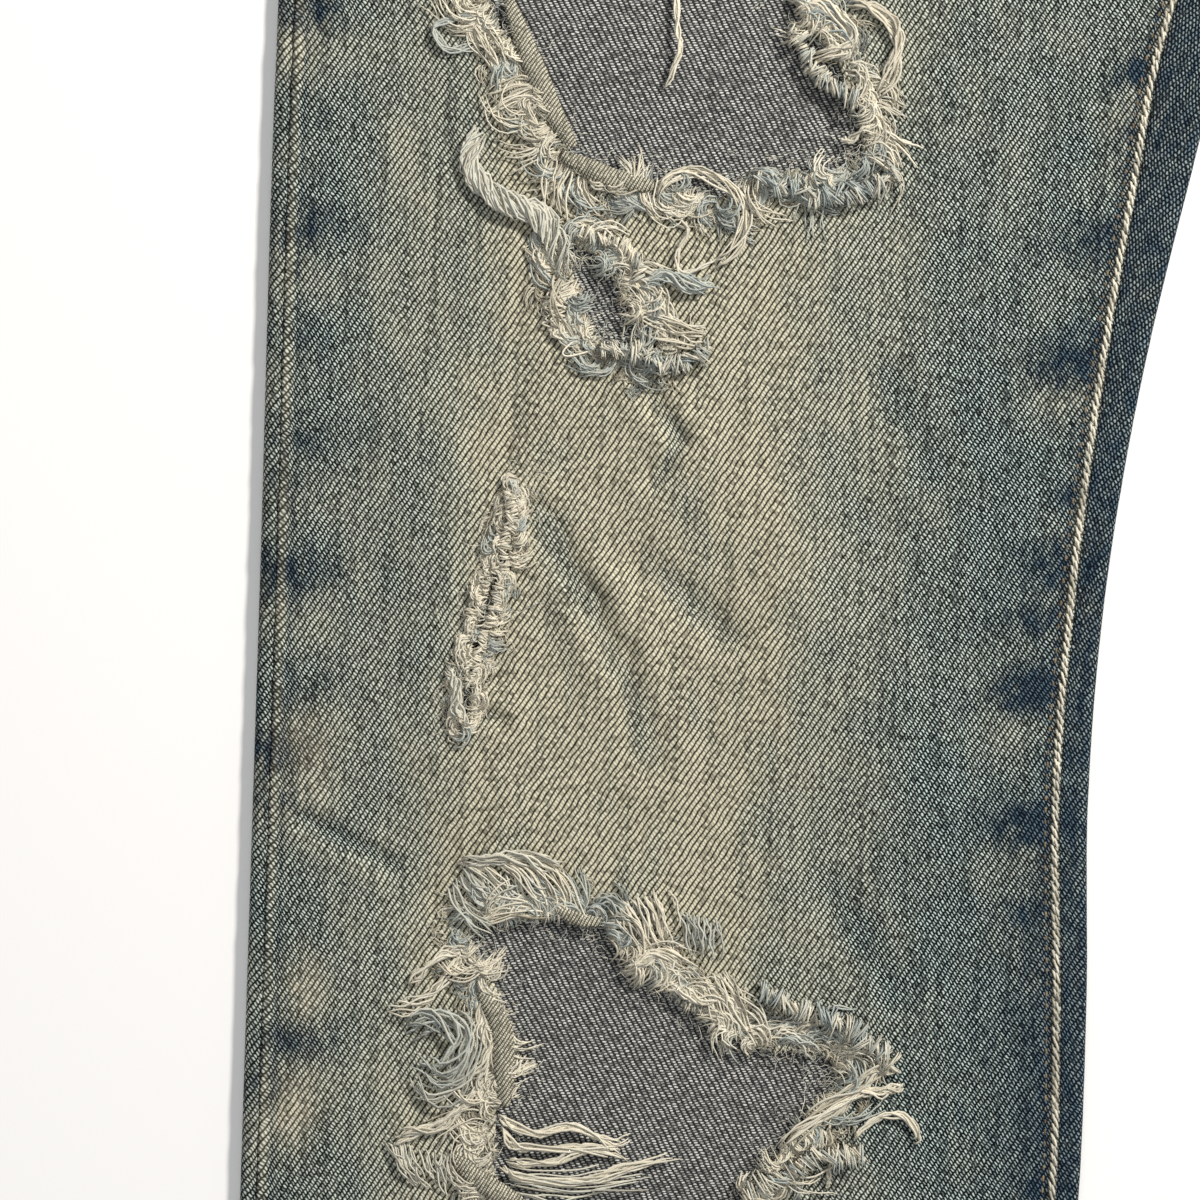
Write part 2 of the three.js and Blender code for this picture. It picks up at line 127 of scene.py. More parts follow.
# Half outlines of the laid garment, from the hem up, as (y, distance from the centre line).
outer_fold = smooth_line((
    (-810, 331), (-452, 320), (-296, 315), (-140, 310), (0, 301), (80, 284), (150, 261), (217, 228),
    (260, 204),
))
inner_fold = smooth_line((
    (-810, 126), (-452, 101), (-400, 98.9), (-348, 98.5), (-296, 94.2), (-244, 85.6), (-192, 73.4),
    (-140, 58.6), (-4, 1.7),
))
inseam_turn = smooth_line((
    (-810, 5.5), (-452, 6.2), (-400, 7.1), (-348, 7.7), (-296, 8.0), (-244, 9.9), (-192, 13.3),
    (-140, 16.9), (-60, 14), (-25, 8), (-4, 3.4),
))

# Outlines of the missing cloth.
UPPER_RIP = (
    (-256, -134), (-251, -148), (-243, -160), (-240, -171), (-231, -183), (-211, -186.5),
    (-194, -191), (-185, -185), (-159, -181.5), (-161, -162), (-174, -142), (-187, -121),
    (-213, -109), (-243, -115),
)
SMALL_HOLE = (
    (-235, -203), (-226, -207.5), (-217, -221), (-210, -229.5), (-223, -230.5), (-229, -223.5),
    (-232.5, -213),
)
SLIT = (
    (-248, -266), (-250.5, -286), (-256, -307), (-260.5, -327), (-262.5, -326), (-258.5, -306),
    (-253, -285),
)
LOWER_RIP = (
    (-260, -382), (-244, -379.5), (-227, -380), (-220, -388), (-204, -402), (-184, -413),
    (-169, -414), (-164.5, -421.5), (-174, -433), (-186, -449), (-199, -468), (-215, -485),
    (-237, -479), (-251, -461), (-254, -437), (-249.5, -416), (-252, -401),
)

# Soft folds, as (from, to, width, height): a trough where the height is below zero.
FOLDS = {
    "right": (
        ((-241, -262), (-217, -345), 15, -0.9),
        ((-208, -290), (-178, -316), 13, -0.7),
        ((-190, -268), (-148, -345), 20, 2.4),
        ((-222, -232), (-200, -260), 12, -0.7),
        ((-304, -345), (-272, -368), 12, -1.0),
        ((-292, -330), (-294, -420), 14, 1.3),
        ((-276, -250), (-262, -352), 16, 1.6),
        ((-262, -560), (-170, -610), 26, 2.2),
        ((-290, -690), (-220, -720), 22, 1.6),
        ((-60, -60), (-190, -40), 22, 2.2),
        ((-50, -20), (-150, 30), 20, 1.8),
    ),
    "left": (
        ((130, -330), (215, -380), 24, 2.2),
        ((260, -300), (190, -420), 22, 1.8),
        ((170, -560), (265, -600), 26, 2.2),
        ((220, -700), (295, -735), 22, 1.6),
        ((60, -60), (190, -44), 22, 2.2),
        ((50, -18), (152, 26), 20, 1.8),
    ),
}

# Sharper creases pressed into the worn leg, as (from, to, width, depth).
CREASES = (
    ((-216, -238), (-205, -254), 2.6, 1.4),
    ((-205, -254), (-212, -266), 2.4, 0.9),
    ((-242, -273), (-229, -296), 3.4, 1.2),
    ((-229, -296), (-221, -312), 3.6, 1.4),
    ((-221, -312), (-213, -338), 4.4, 0.9),
    ((-216, -286), (-192, -306), 4.2, 0.8),
    ((-259, -324), (-251, -328), 2.2, 1.0),
    ((-303, -353), (-281, -365), 2.6, 1.0),
    ((-150, -238), (-141, -262), 4.6, 0.6),
    ((-166, -372), (-150, -398), 4.6, 0.6),
)

# Patches rubbed pale beside the outseam, as (x, y, size).
RUBBED = ((-302, -334, 10), (-303, -397, 9), (-305, -428, 10))


def closed_curve(corners, step):
    """Points along the smooth closed curve through the corners, about a step apart."""
    p = np.array(corners, float)
    before, after, beyond = np.roll(p, 1, 0), np.roll(p, -1, 0), np.roll(p, -2, 0)
    out = []
    for a, b, c, d in zip(before, p, after, beyond):
        count = max(2, int(round(np.linalg.norm(c - b) / step)))
        t = (np.arange(count) / count)[:, None]
        out.append(0.5 * (2 * b + (c - a) * t + (2 * a - 5 * b + 4 * c - d) * t ** 2
                          + (3 * b - a - 3 * c + d) * t ** 3))
    return np.concatenate(out)


def open_curve(corners, count):
    """The given number of points along the smooth open curve through the corners."""
    p = np.array(corners, float)
    p = np.vstack([2 * p[0] - p[1], p, 2 * p[-1] - p[-2]])
    at = np.linspace(0, len(p) - 3 - 1e-9, count)
    i = at.astype(int)
    t = (at - i)[:, None]
    a, b, c, d = p[i], p[i + 1], p[i + 2], p[i + 3]
    return 0.5 * (2 * b + (c - a) * t + (2 * a - 5 * b + 4 * c - d) * t ** 2
                  + (3 * b - a - 3 * c + d) * t ** 3)


def smoothstep(x, low, high):
    t = np.clip((np.asarray(x, float) - low) / (high - low), 0, 1)
    return t * t * (3 - 2 * t)


def segment_distance(x, y, a, b):
    dx, dy = b[0] - a[0], b[1] - a[1]
    t = np.clip(((x - a[0]) * dx + (y - a[1]) * dy) / (dx * dx + dy * dy), 0, 1)
    return np.hypot(x - a[0] - dx * t, y - a[1] - dy * t)


def outline_distance(x, y, outline):
    """Distance to a closed outline given as an array of close points."""
    x, y = np.asarray(x, float), np.asarray(y, float)
    best = np.full(x.shape, 1e9)
    for a in outline:
        best = np.minimum(best, (x - a[0]) ** 2 + (y - a[1]) ** 2)
    return np.sqrt(best)


def inside(x, y, corners):
    x, y = np.asarray(x, float), np.asarray(y, float)
    result = np.zeros(x.shape, bool)
    for a, b in zip(corners, np.roll(corners, -1, 0)):
        if a[1] == b[1]:
            continue
        crosses = (a[1] > y) != (b[1] > y)
        result ^= crosses & (x < a[0] + (y - a[1]) / (b[1] - a[1]) * (b[0] - a[0]))
    return result


def ripple(x, y, wavelength, seed, waves=7):
    """Smooth noise between about -1 and 1: a few crossing waves of about one length."""
    rng = np.random.default_rng(seed)
    total = 0.0
    for _ in range(waves):
        angle, phase = rng.uniform(0, 2 * np.pi, 2)
        k = 2 * np.pi / (wavelength * rng.uniform(0.7, 1.6))
        total = total + np.sin(k * (x * math.cos(angle) + y * math.sin(angle)) + phase)
    return total / math.sqrt(waves)


RIPS = [closed_curve(corners, 0.9) for corners in (UPPER_RIP, SMALL_HOLE, SLIT, LOWER_RIP)]


def frayed_outline(curve, seed):
    """The edge of a rip with its small bites."""
    ahead = np.roll(curve, -1, 0) - np.roll(curve, 1, 0)
    normal = np.c_[ahead[:, 1], -ahead[:, 0]] / np.linalg.norm(ahead, axis=1)[:, None]
    bite = 0.45 * ripple(curve[:, 0], curve[:, 1], 5.0, seed) + 0.25 * ripple(
        curve[:, 0], curve[:, 1], 1.8, seed + 1)
    return curve + normal * bite[:, None]


FRAYED_RIPS = [frayed_outline(curve, 31 + i) for i, curve in enumerate(RIPS)]


def rip_distance(x, y):
    return np.minimum.reduce([outline_distance(x, y, rip) for rip in RIPS])


# ------------------------------------------------------------------ the lie of the cloth


def centre_share(x):
    return 1 - np.minimum(np.abs(x) / WAIST_HALF, 1) ** 2


def front_waist_y(x):
    return SIDE_WAIST_Y - FRONT_DIP * centre_share(x)


def back_waist_y(x):
    return SIDE_WAIST_Y + BACK_RISE * centre_share(x)


def yoke_seam_y(x):
    return YOKE_CENTRE_Y + YOKE_SIDE_RISE * np.minimum(np.abs(x) / WAIST_HALF, 1)


def seat_lift(x, y):
    """The seat pockets lie on the table, and the cloth over them is raised."""
    half = np.abs(np.asarray(x, float))
    corners = np.array(SEAT_POCKET, float)
    away = np.minimum.reduce([
        segment_distance(half, y, a, b) for a, b in zip(corners, np.roll(corners, -1, 0))
    ])
    away = np.where(inside(half, y, corners), 0, away)
    return POCKET_LIFT * (1 - smoothstep(away, 4, 30))


def waist_lift(x, y):
    half = np.abs(x)
    side = smoothstep(half, WAIST_HALF - 60, WAIST_HALF - 20)
    return LOOP_LIFT * (1 - side) * (1 - smoothstep(back_waist_y(half) - y, 14, 34))


def fold_lift(x, y, folds):
    lift = np.zeros(np.shape(x))
    for a, b, width, height in folds:
        lift += height * np.exp(-(segment_distance(x, y, a, b) / width) ** 2)
    return lift


def crease_lift(x, y):
    """A crease is a narrow trough between two low shoulders."""
    lift = np.zeros(np.shape(x))
    for a, b, width, depth in CREASES:
        away = segment_distance(x, y, a, b) / width
        lift += depth * (0.9 * np.exp(-((away - 1.9) / 1.1) ** 2) - np.exp(-away ** 2))
    return lift


def front_height(x, y, word, cloth):
    """Height of the middle of the front layer."""
    x, y = np.asarray(x, float), np.asarray(y, float)
    half = np.abs(x)
    outer = outer_fold(y) - OUTSEAM_TURN - half
    inner = np.where(y < 0, half - inner_fold(y) - inseam_turn(y), SINK_REACH)
    near = np.minimum(outer, inner)
    clear = smoothstep(near, 0, SINK_REACH)
    low_body = 1 - smoothstep(y, -90, -20)
    level = LEG_HEIGHT - cloth / 2
    z = level + clear * (fold_lift(x, y, FOLDS[word]) - SINK * low_body)
    # The felled edges: a rounded bead along both seams, with a shallow valley beside it.
    for away in (outer, np.where(y < -6, inner, 99)):
        bead = 0.55 * np.exp(-((away - 1.2) / 1.05) ** 2) - 0.40 * np.exp(-((away - 3.7) / 1.2) ** 2)
        pucker = 0.24 * np.exp(-away / 8.0) * ripple(x * 0.3, y, 9.0, 5)
        z = z + bead + pucker
    z = z + 0.10 * smoothstep(near, 2, 12) * ripple(x, y, 26.0, 11)
    if word == "right":
        z = z + crease_lift(x, y) * smoothstep(near, 1, 6)
        away = rip_distance(x, y)
        curl = 0.55 + 0.45 * ripple(x, y, 14.0, 17)
        z = z + 0.9 * curl * np.exp(-away / 1.9) - 0.35 * np.exp(-((away - 5.0) / 2.6) ** 2)
    back = cloth + GAP
    return np.maximum(z, back + cloth / 2 + 0.1)


# ------------------------------------------------------------------ colour of the wash


def seam_spots(seed):
    """Navy spots down a seam, as (y, distance in from the seam, size, depth)."""
    rng = np.random.default_rng(seed)
    ys = np.arange(-60.0, HEM_Y, -SPOT_PITCH)
    return [(y + rng.normal(0, 8), rng.uniform(1, 9), rng.uniform(5, 12), rng.uniform(0.3, 1.1))
            for y in ys]


def wash(x, y, word, layer):
    """How faded, navy and bare the cloth is, each from 0 to 1, with painted shade in crease troughs and seam
    grooves.
    """
    x, y = np.asarray(x, float), np.asarray(y, float)
    half = np.abs(x)
    outer = outer_fold(y) - OUTSEAM_TURN - half
    inner = np.where(y < -8, half - inner_fold(y) - inseam_turn(y), 99)
    # The worn band runs down the front of the thigh and knee, further out below the knee.
    shifted = half - 14 * smoothstep(-y, 265, 400)
    outward = 0.26 + 0.74 * (1 - smoothstep(shifted, 238, 300))
    inside_level = 0.30 * (1 - smoothstep(-y, 140, 265))
    inward = inside_level + (1 - inside_level) * smoothstep(shifted, 110, 196)
    along = 0.35 + 0.65 * smoothstep(-y, -120, 110) * (1 - 0.7 * smoothstep(-y, 500, 700))
    if layer == "back":
        along = 0.45 + 0.25 * smoothstep(y, -120, 60)
    fade_and_shade = outward * inward * along
    fade_and_shade = fade_and_shade + 0.09 * ripple(x * 1.4, y * 0.5, 34, 3) + 0.06 * ripple(x, y, 12, 4)
    # Navy is left where the cloth was pressed together beside the seams.
    navy_and_shade = 0.35 * smoothstep(-y, 330, 420) * (1 - smoothstep(half, 112, 150))
    navy_and_shade = navy_and_shade + 0.36 * np.exp(-(inner / 11) ** 2) + 0.12 * np.exp(-(outer / 10) ** 2)
    if layer == "back":
        from_fold = np.minimum(outer_fold(y) - half, np.abs(half - inner_fold(y)))
        navy_and_shade = navy_and_shade + 0.5 * np.exp(-(from_fold / 12) ** 2)
    streaks = 0.95 + 0.30 * ripple(x, y * 0.4, 3.4, 8)
    for away, seed, share in ((outer, 21, 0.72), (inner, 22, 1.0)):
        for spot_y, spot_away, size, depth in seam_spots(seed):
            spot = np.hypot((away - spot_away) * 0.75, (y - spot_y) * 1.35) / size
            navy_and_shade = np.maximum(navy_and_shade, share * depth * streaks * np.exp(-spot ** 1.9))
            patch = np.hypot((away - spot_away) * 0.6, (y - spot_y + SPOT_PITCH / 2) * 1.2) / size
            fade_and_shade = fade_and_shade + 0.34 * depth * np.exp(-patch ** 2.6)
    bare = np.zeros(x.shape)
    if layer == "front":
        for away, wear in ((outer, 0.42), (inner, 0.75)):
            ridge = np.exp(-((away - 1.2) / 0.95) ** 2) * (away > 0)
            bare = np.maximum(bare, wear * ridge * (1 + 0.25 * ripple(x * 0.2, y, 22, 41)))
            # Painted shade: a navy line down the stitched groove beside each bead, as strong as the rubbing
            # of the bead.
            navy_and_shade = np.maximum(navy_and_shade, wear * np.exp(-((away - 3.5) / 0.7) ** 2))
    if word == "right" and layer == "front":
        bare = np.maximum(bare, 0.8 * np.exp(-(rip_distance(x, y) / 1.3) ** 1.5))
        for rub_x, rub_y, size in RUBBED:
            rub = np.exp(-(np.hypot((x - rub_x) * 1.5, y - rub_y) / size) ** 2)
            bare = np.maximum(bare, 0.6 * rub * (1 + 0.5 * ripple(x, y * 0.4, 3.4, 8)))
            fade_and_shade = fade_and_shade + 0.4 * rub
        # Painted shade: the fade is lowered along the trough of each crease, and raised a little along its
        # shoulders.
        pressed = np.minimum.reduce([segment_distance(x, y, a, b) / w for a, b, w, _ in CREASES])
        fade_and_shade = fade_and_shade - 0.22 * np.exp(-pressed ** 2) + 0.10 * np.exp(-((pressed - 1.9) / 0.9) ** 2)
    return {
        "fade_and_shade": np.clip(fade_and_shade, 0, 1),
        "navy_and_shade": np.clip(navy_and_shade, 0, 1),
        "bare": np.clip(bare, 0, 1),
    }


# ------------------------------------------------------------------ making meshes


def metres(points):
    return (np.asarray(points, float) + (0, GARMENT_SHIFT, 0)) * MM


def grid_faces(rows, columns):
    r, c = np.meshgrid(np.arange(rows - 1), np.arange(columns - 1), indexing="ij")
    first = (r * columns + c).ravel()
    return np.c_[first, first + 1, first + columns + 1, first + columns]


def directed_edges(faces):
    return np.vstack([np.c_[faces[:, k], np.roll(faces, -1, 1)[:, k]] for k in range(faces.shape[1])])


def boundary_edges(faces, count):
    edges = directed_edges(faces)
    forward = edges[:, 0] * count + edges[:, 1]
    backward = edges[:, 1] * count + edges[:, 0]
    return edges[~np.isin(forward, backward)]


def surface_normals(points, faces):
    a, b, c = points[faces[:, 0]], points[faces[:, 1]], points[faces[:, 2]]
    if faces.shape[1] == 4:
        face_normals = np.cross(c - a, points[faces[:, 3]] - b)
    else:
        face_normals = np.cross(b - a, c - a)
    normals = np.zeros(points.shape)
    for k in range(faces.shape[1]):
        for axis in range(3):
            normals[:, axis] += np.bincount(faces[:, k], face_normals[:, axis], len(points))
    return normals / np.maximum(np.linalg.norm(normals, axis=1), 1e-12)[:, None]


def make_object(name, points, faces, weave=None, shades=None, materials=(), face_slots=None,
                flat_faces=None):
    """A mesh object from arrays of points and of faces, all of one size or a list of arrays."""
    groups = faces if isinstance(faces, list) else [faces]
    mesh = bpy.data.meshes.new(name)
    sizes = np.concatenate([np.full(len(group), group.shape[1]) for group in groups])
    corners = np.concatenate([group.ravel() for group in groups])
    mesh.vertices.add(len(points))
    mesh.vertices.foreach_set("co", metres(points).astype(np.float32).ravel())
    mesh.loops.add(len(corners))
    mesh.loops.foreach_set("vertex_index", corners.astype(np.int32))
    mesh.polygons.add(len(sizes))
    starts = np.concatenate([[0], np.cumsum(sizes)[:-1]])
    mesh.polygons.foreach_set("loop_start", starts.astype(np.int32))
    if face_slots is not None:
        mesh.polygons.foreach_set("material_index", face_slots.astype(np.int32))
    mesh.update(calc_edges=True)
    mesh.polygons.foreach_set("use_smooth", np.ones(len(sizes), bool))
    if flat_faces is not None:
        mesh.polygons.foreach_set("use_smooth", ~flat_faces)
    if weave is not None:
        layer = mesh.uv_layers.new(name="weave")
        layer.uv.foreach_set("vector", (weave[corners] * MM).astype(np.float32).ravel())
    for word, values in (shades or {}).items():
        attribute = mesh.attributes.new(word, "FLOAT", "POINT")
        attribute.data.foreach_set("value", np.asarray(values, np.float32))
    for material in materials:
        mesh.materials.append(material)
    mesh.validate()
    piece = bpy.data.objects.new(name, mesh)
    bpy.context.scene.collection.objects.link(piece)
    return piece


def cloth_wall(name, points, faces, weave, shades, thickness):
    """A closed wall of denim round its middle surface: the right side is where the faces look."""
    normals = surface_normals(points, faces)
    half = normals * (np.broadcast_to(thickness, len(points)) / 2)[:, None]
    count = len(points)
    edges = boundary_edges(faces, count)
    rim = np.c_[edges[:, 1], edges[:, 0], edges[:, 0] + count, edges[:, 1] + count]
    groups = [faces, faces[:, ::-1] + count, rim]
    slots = np.concatenate([np.zeros(len(faces)), np.ones(len(faces)), np.zeros(len(rim))])
    flat = np.concatenate([np.zeros(2 * len(faces)), np.ones(len(rim))]).astype(bool)
    both = {word: np.tile(values, 2) for word, values in shades.items()}
    return make_object(
        name, np.vstack([points + half, points - half]), groups, np.tile(weave, (2, 1)), both,
        (denim_material("right"), denim_material("wrong")), slots, flat,
    )


def grid_wall(name, grid, weave, shades, thickness, side=1):
    """A wall of denim from rows of points; side -1 is a row that runs the other way round."""
    if side < 0:
        grid, weave = grid[:, ::-1], weave[:, ::-1]
        shades = {word: values[:, ::-1] for word, values in shades.items()}
        if np.ndim(thickness) == 2:
            thickness = thickness[:, ::-1]
    rows, columns = grid.shape[:2]
    if np.ndim(thickness) == 2:
        thickness = thickness.reshape(-1)
    return cloth_wall(
        name, grid.reshape(-1, 3), grid_faces(rows, columns), weave.reshape(-1, 2),
        {word: values.reshape(-1) for word, values in shades.items()}, thickness,
    )


def finish_piece(piece, slot, *nodes):
    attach(piece, "root")
    if nodes:
        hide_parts(*nodes)
    return piece


def tubes(name, paths, radii, shades, materials, sides=3):
    """Round strands, each along a row of points, as one mesh with closed ends."""
    strands, steps = paths.shape[:2]
    along = np.gradient(paths, axis=1)
    along /= np.maximum(np.linalg.norm(along, axis=2), 1e-9)[..., None]
    helper = np.zeros(paths.shape)
    helper[..., 2] = 1
    helper[np.abs(along[..., 2]) > 0.9] = (1, 0, 0)
    across = np.cross(along, helper)
    across /= np.maximum(np.linalg.norm(across, axis=2), 1e-9)[..., None]
    up = np.cross(across, along)
    angles = np.arange(sides) * 2 * np.pi / sides + 0.5
    ring = (across[:, :, None] * np.cos(angles)[:, None] + up[:, :, None] * np.sin(angles)[:, None])
    points = paths[:, :, None] + ring * radii[:, :, None, None]
    k, s, a = np.meshgrid(np.arange(strands), np.arange(steps - 1), np.arange(sides), indexing="ij")
    base = k * steps * sides + s * sides
    nxt = (a + 1) % sides
    walls = np.stack([base + a, base + nxt, base + sides + nxt, base + sides + a], -1).reshape(-1, 4)
    first = np.arange(strands)[:, None] * steps * sides
    caps = np.vstack([
        first + np.arange(sides)[::-1], first + (steps - 1) * sides + np.arange(sides)])
    spread = {word: np.repeat(values.ravel(), sides) if values.ndim == 2
              else np.repeat(values, steps * sides) for word, values in shades.items()}
    flat_points = points.reshape(-1, 3)
    return make_object(name, flat_points, [walls, caps], None, spread, materials)


# ------------------------------------------------------------------ materials


def srgb(red, green, blue):
    """Linear colour from the 0 to 255 values of a swatch."""
    share = np.array((red, green, blue)) / 255
    return tuple(np.where(share <= 0.04045, share / 12.92, ((share + 0.055) / 1.055) ** 2.4))


class Look:
    """One procedural material while it is being wired."""

    def __init__(self, name, roughness, metallic=0.0):
        self.material = bpy.data.materials.new(name)
        self.material.use_nodes = True
        self.tree = self.material.node_tree
        self.tree.nodes.clear()
        output = self.node("ShaderNodeOutputMaterial")
        self.shader = self.node("ShaderNodeBsdfPrincipled")
        self.shader.inputs["Roughness"].default_value = roughness
        self.shader.inputs["Metallic"].default_value = metallic
        self.tree.links.new(self.shader.outputs["BSDF"], output.inputs["Surface"])

    def node(self, kind, **settings):
        node = self.tree.nodes.new(kind)
        for word, value in settings.items():
            setattr(node, word, value)
        return node

    def feed(self, socket, value):
        if isinstance(value, bpy.types.NodeSocket):
            self.tree.links.new(value, socket)
        elif hasattr(value, "__len__") and len(value) == 3 and socket.type == "RGBA":
            socket.default_value = (*value, 1)
        else:
            socket.default_value = value

    def math(self, operation, *values, clamp=False):
        node = self.node("ShaderNodeMath", operation=operation, use_clamp=clamp)
        for socket, value in zip(node.inputs, values):
            self.feed(socket, value)
        return node.outputs[0]

    def blend(self, share, a, b):
        node = self.node("ShaderNodeMix", data_type="RGBA")
        self.feed(node.inputs[0], share)
        self.feed(node.inputs[6], a)
        self.feed(node.inputs[7], b)
        return node.outputs[2]

    def mix(self, share, a, b):
        return self.math("MULTIPLY_ADD", share, self.math("SUBTRACT", b, a), a)

    def join(self, x, y, z=0.0):
        node = self.node("ShaderNodeCombineXYZ")
        for socket, value in zip(node.inputs, (x, y, z)):
            self.feed(socket, value)
        return node.outputs[0]

    def noise(self, vector, scale, detail=2.0, roughness=0.5):
        """Noise about its own middle, from about -1 to 1."""
        node = self.node("ShaderNodeTexNoise")
        self.feed(node.inputs["Vector"], vector)
        node.inputs["Scale"].default_value = scale
        node.inputs["Detail"].default_value = detail
        node.inputs["Roughness"].default_value = roughness
        return self.math("MULTIPLY_ADD", node.outputs[0], 4.0, -2.0)

    def random(self, vector):
        node = self.node("ShaderNodeTexWhiteNoise", noise_dimensions="3D")
        self.feed(node.inputs["Vector"], vector)
        return node.outputs[0]

    def attribute(self, name):
        return self.node("ShaderNodeAttribute", attribute_name=name).outputs["Fac"]

    def weave_place(self):
        place = self.node("ShaderNodeUVMap", uv_map="weave").outputs[0]
        parts = self.node("ShaderNodeSeparateXYZ")
        self.feed(parts.inputs[0], place)
        return place, parts.outputs[0], parts.outputs[1]

    def bump(self, height, distance, strength=1.0):
        node = self.node("ShaderNodeBump")
        node.inputs["Strength"].default_value = strength
        node.inputs["Distance"].default_value = distance
        self.feed(node.inputs["Height"], height)
        self.tree.links.new(node.outputs[0], self.shader.inputs["Normal"])

    def colour(self, value):
        self.feed(self.shader.inputs["Base Color"], value)


# The twill of each side: ridge spacing and its direction, float spacing and its direction, then
# the half length and half width of one float, in millimetres and degrees.
TWILLS = {
    "right": ((1.355, -34.7), (0.839, 63.4), (0.64, 0.30), -57.0),
    "wrong": ((1.323, -30.4), (0.760, 67.5), (0.52, 0.27), 0.0),
}


def float_place(ridge, spacing, lean):
    """How far along and across one float a step across a ridge and a step along it reach."""
    rows = [[math.cos(math.radians(angle)) / pitch, math.sin(math.radians(angle)) / pitch]
            for pitch, angle in (ridge, spacing)]
    steps = np.linalg.inv(np.array(rows))
    turn = math.radians(lean)
    frame_rows = np.array([[math.cos(turn), math.sin(turn)], [-math.sin(turn), math.cos(turn)]])
    return frame_rows @ steps


def twill(look, u, v, place, side):
    """A 3/1 twill: the crown of each float and of each ridge, and the shades of float and yarn."""
    ridge, spacing, (half_length, half_width), lean = TWILLS[side]
    sway = look.noise(place, 210.0, 1.0)
    drift = look.noise(place, 95.0, 1.0)
    counts, offsets = [], []
    tremble = look.noise(place, 800.0, 1.0)
    for (pitch, angle), push, share in ((ridge, sway, 0.17), (spacing, drift, 0.45)):
        turn = math.radians(angle)
        across = look.math("MULTIPLY", u, math.cos(turn) / (pitch * MM))
        count = look.math("MULTIPLY_ADD", v, math.sin(turn) / (pitch * MM), across)
        count = look.math("MULTIPLY_ADD", push, share, count)
        count = look.math("MULTIPLY_ADD", tremble, 0.34 * share, count)
        counts.append(look.math("FLOOR", count))
        offsets.append(look.math("SUBTRACT", look.math("FRACT", count), 0.5))
    reach = float_place(ridge, spacing, lean)
    along, aside = (
        look.math("MULTIPLY_ADD", offsets[0], float(row[0]), look.math("MULTIPLY", offsets[1], float(row[1])))
        for row in reach)
    end = look.math("POWER", look.math("ABSOLUTE", look.math("DIVIDE", along, half_length)), 4.0)
    flank = look.math("POWER", look.math("ABSOLUTE", look.math("DIVIDE", aside, half_width)), 2.0)
    crown = look.math("SUBTRACT", look.math("SUBTRACT", 1.0, end), flank, clamp=True)
    edge = look.math("POWER", look.math("ABSOLUTE", look.math("DIVIDE", offsets[0], 0.44)), 4.0)
    ridge_crown = look.math("SUBTRACT", 1.0, edge, clamp=True)
    float_shade = look.random(look.join(*counts))
    yarn = look.math("MULTIPLY_ADD", counts[0], 3.0, counts[1])
    yarn_shade = look.random(look.join(yarn, 0.5))
    return crown, ridge_crown, float_shade, yarn_shade


DENIM_LOOKS = {}


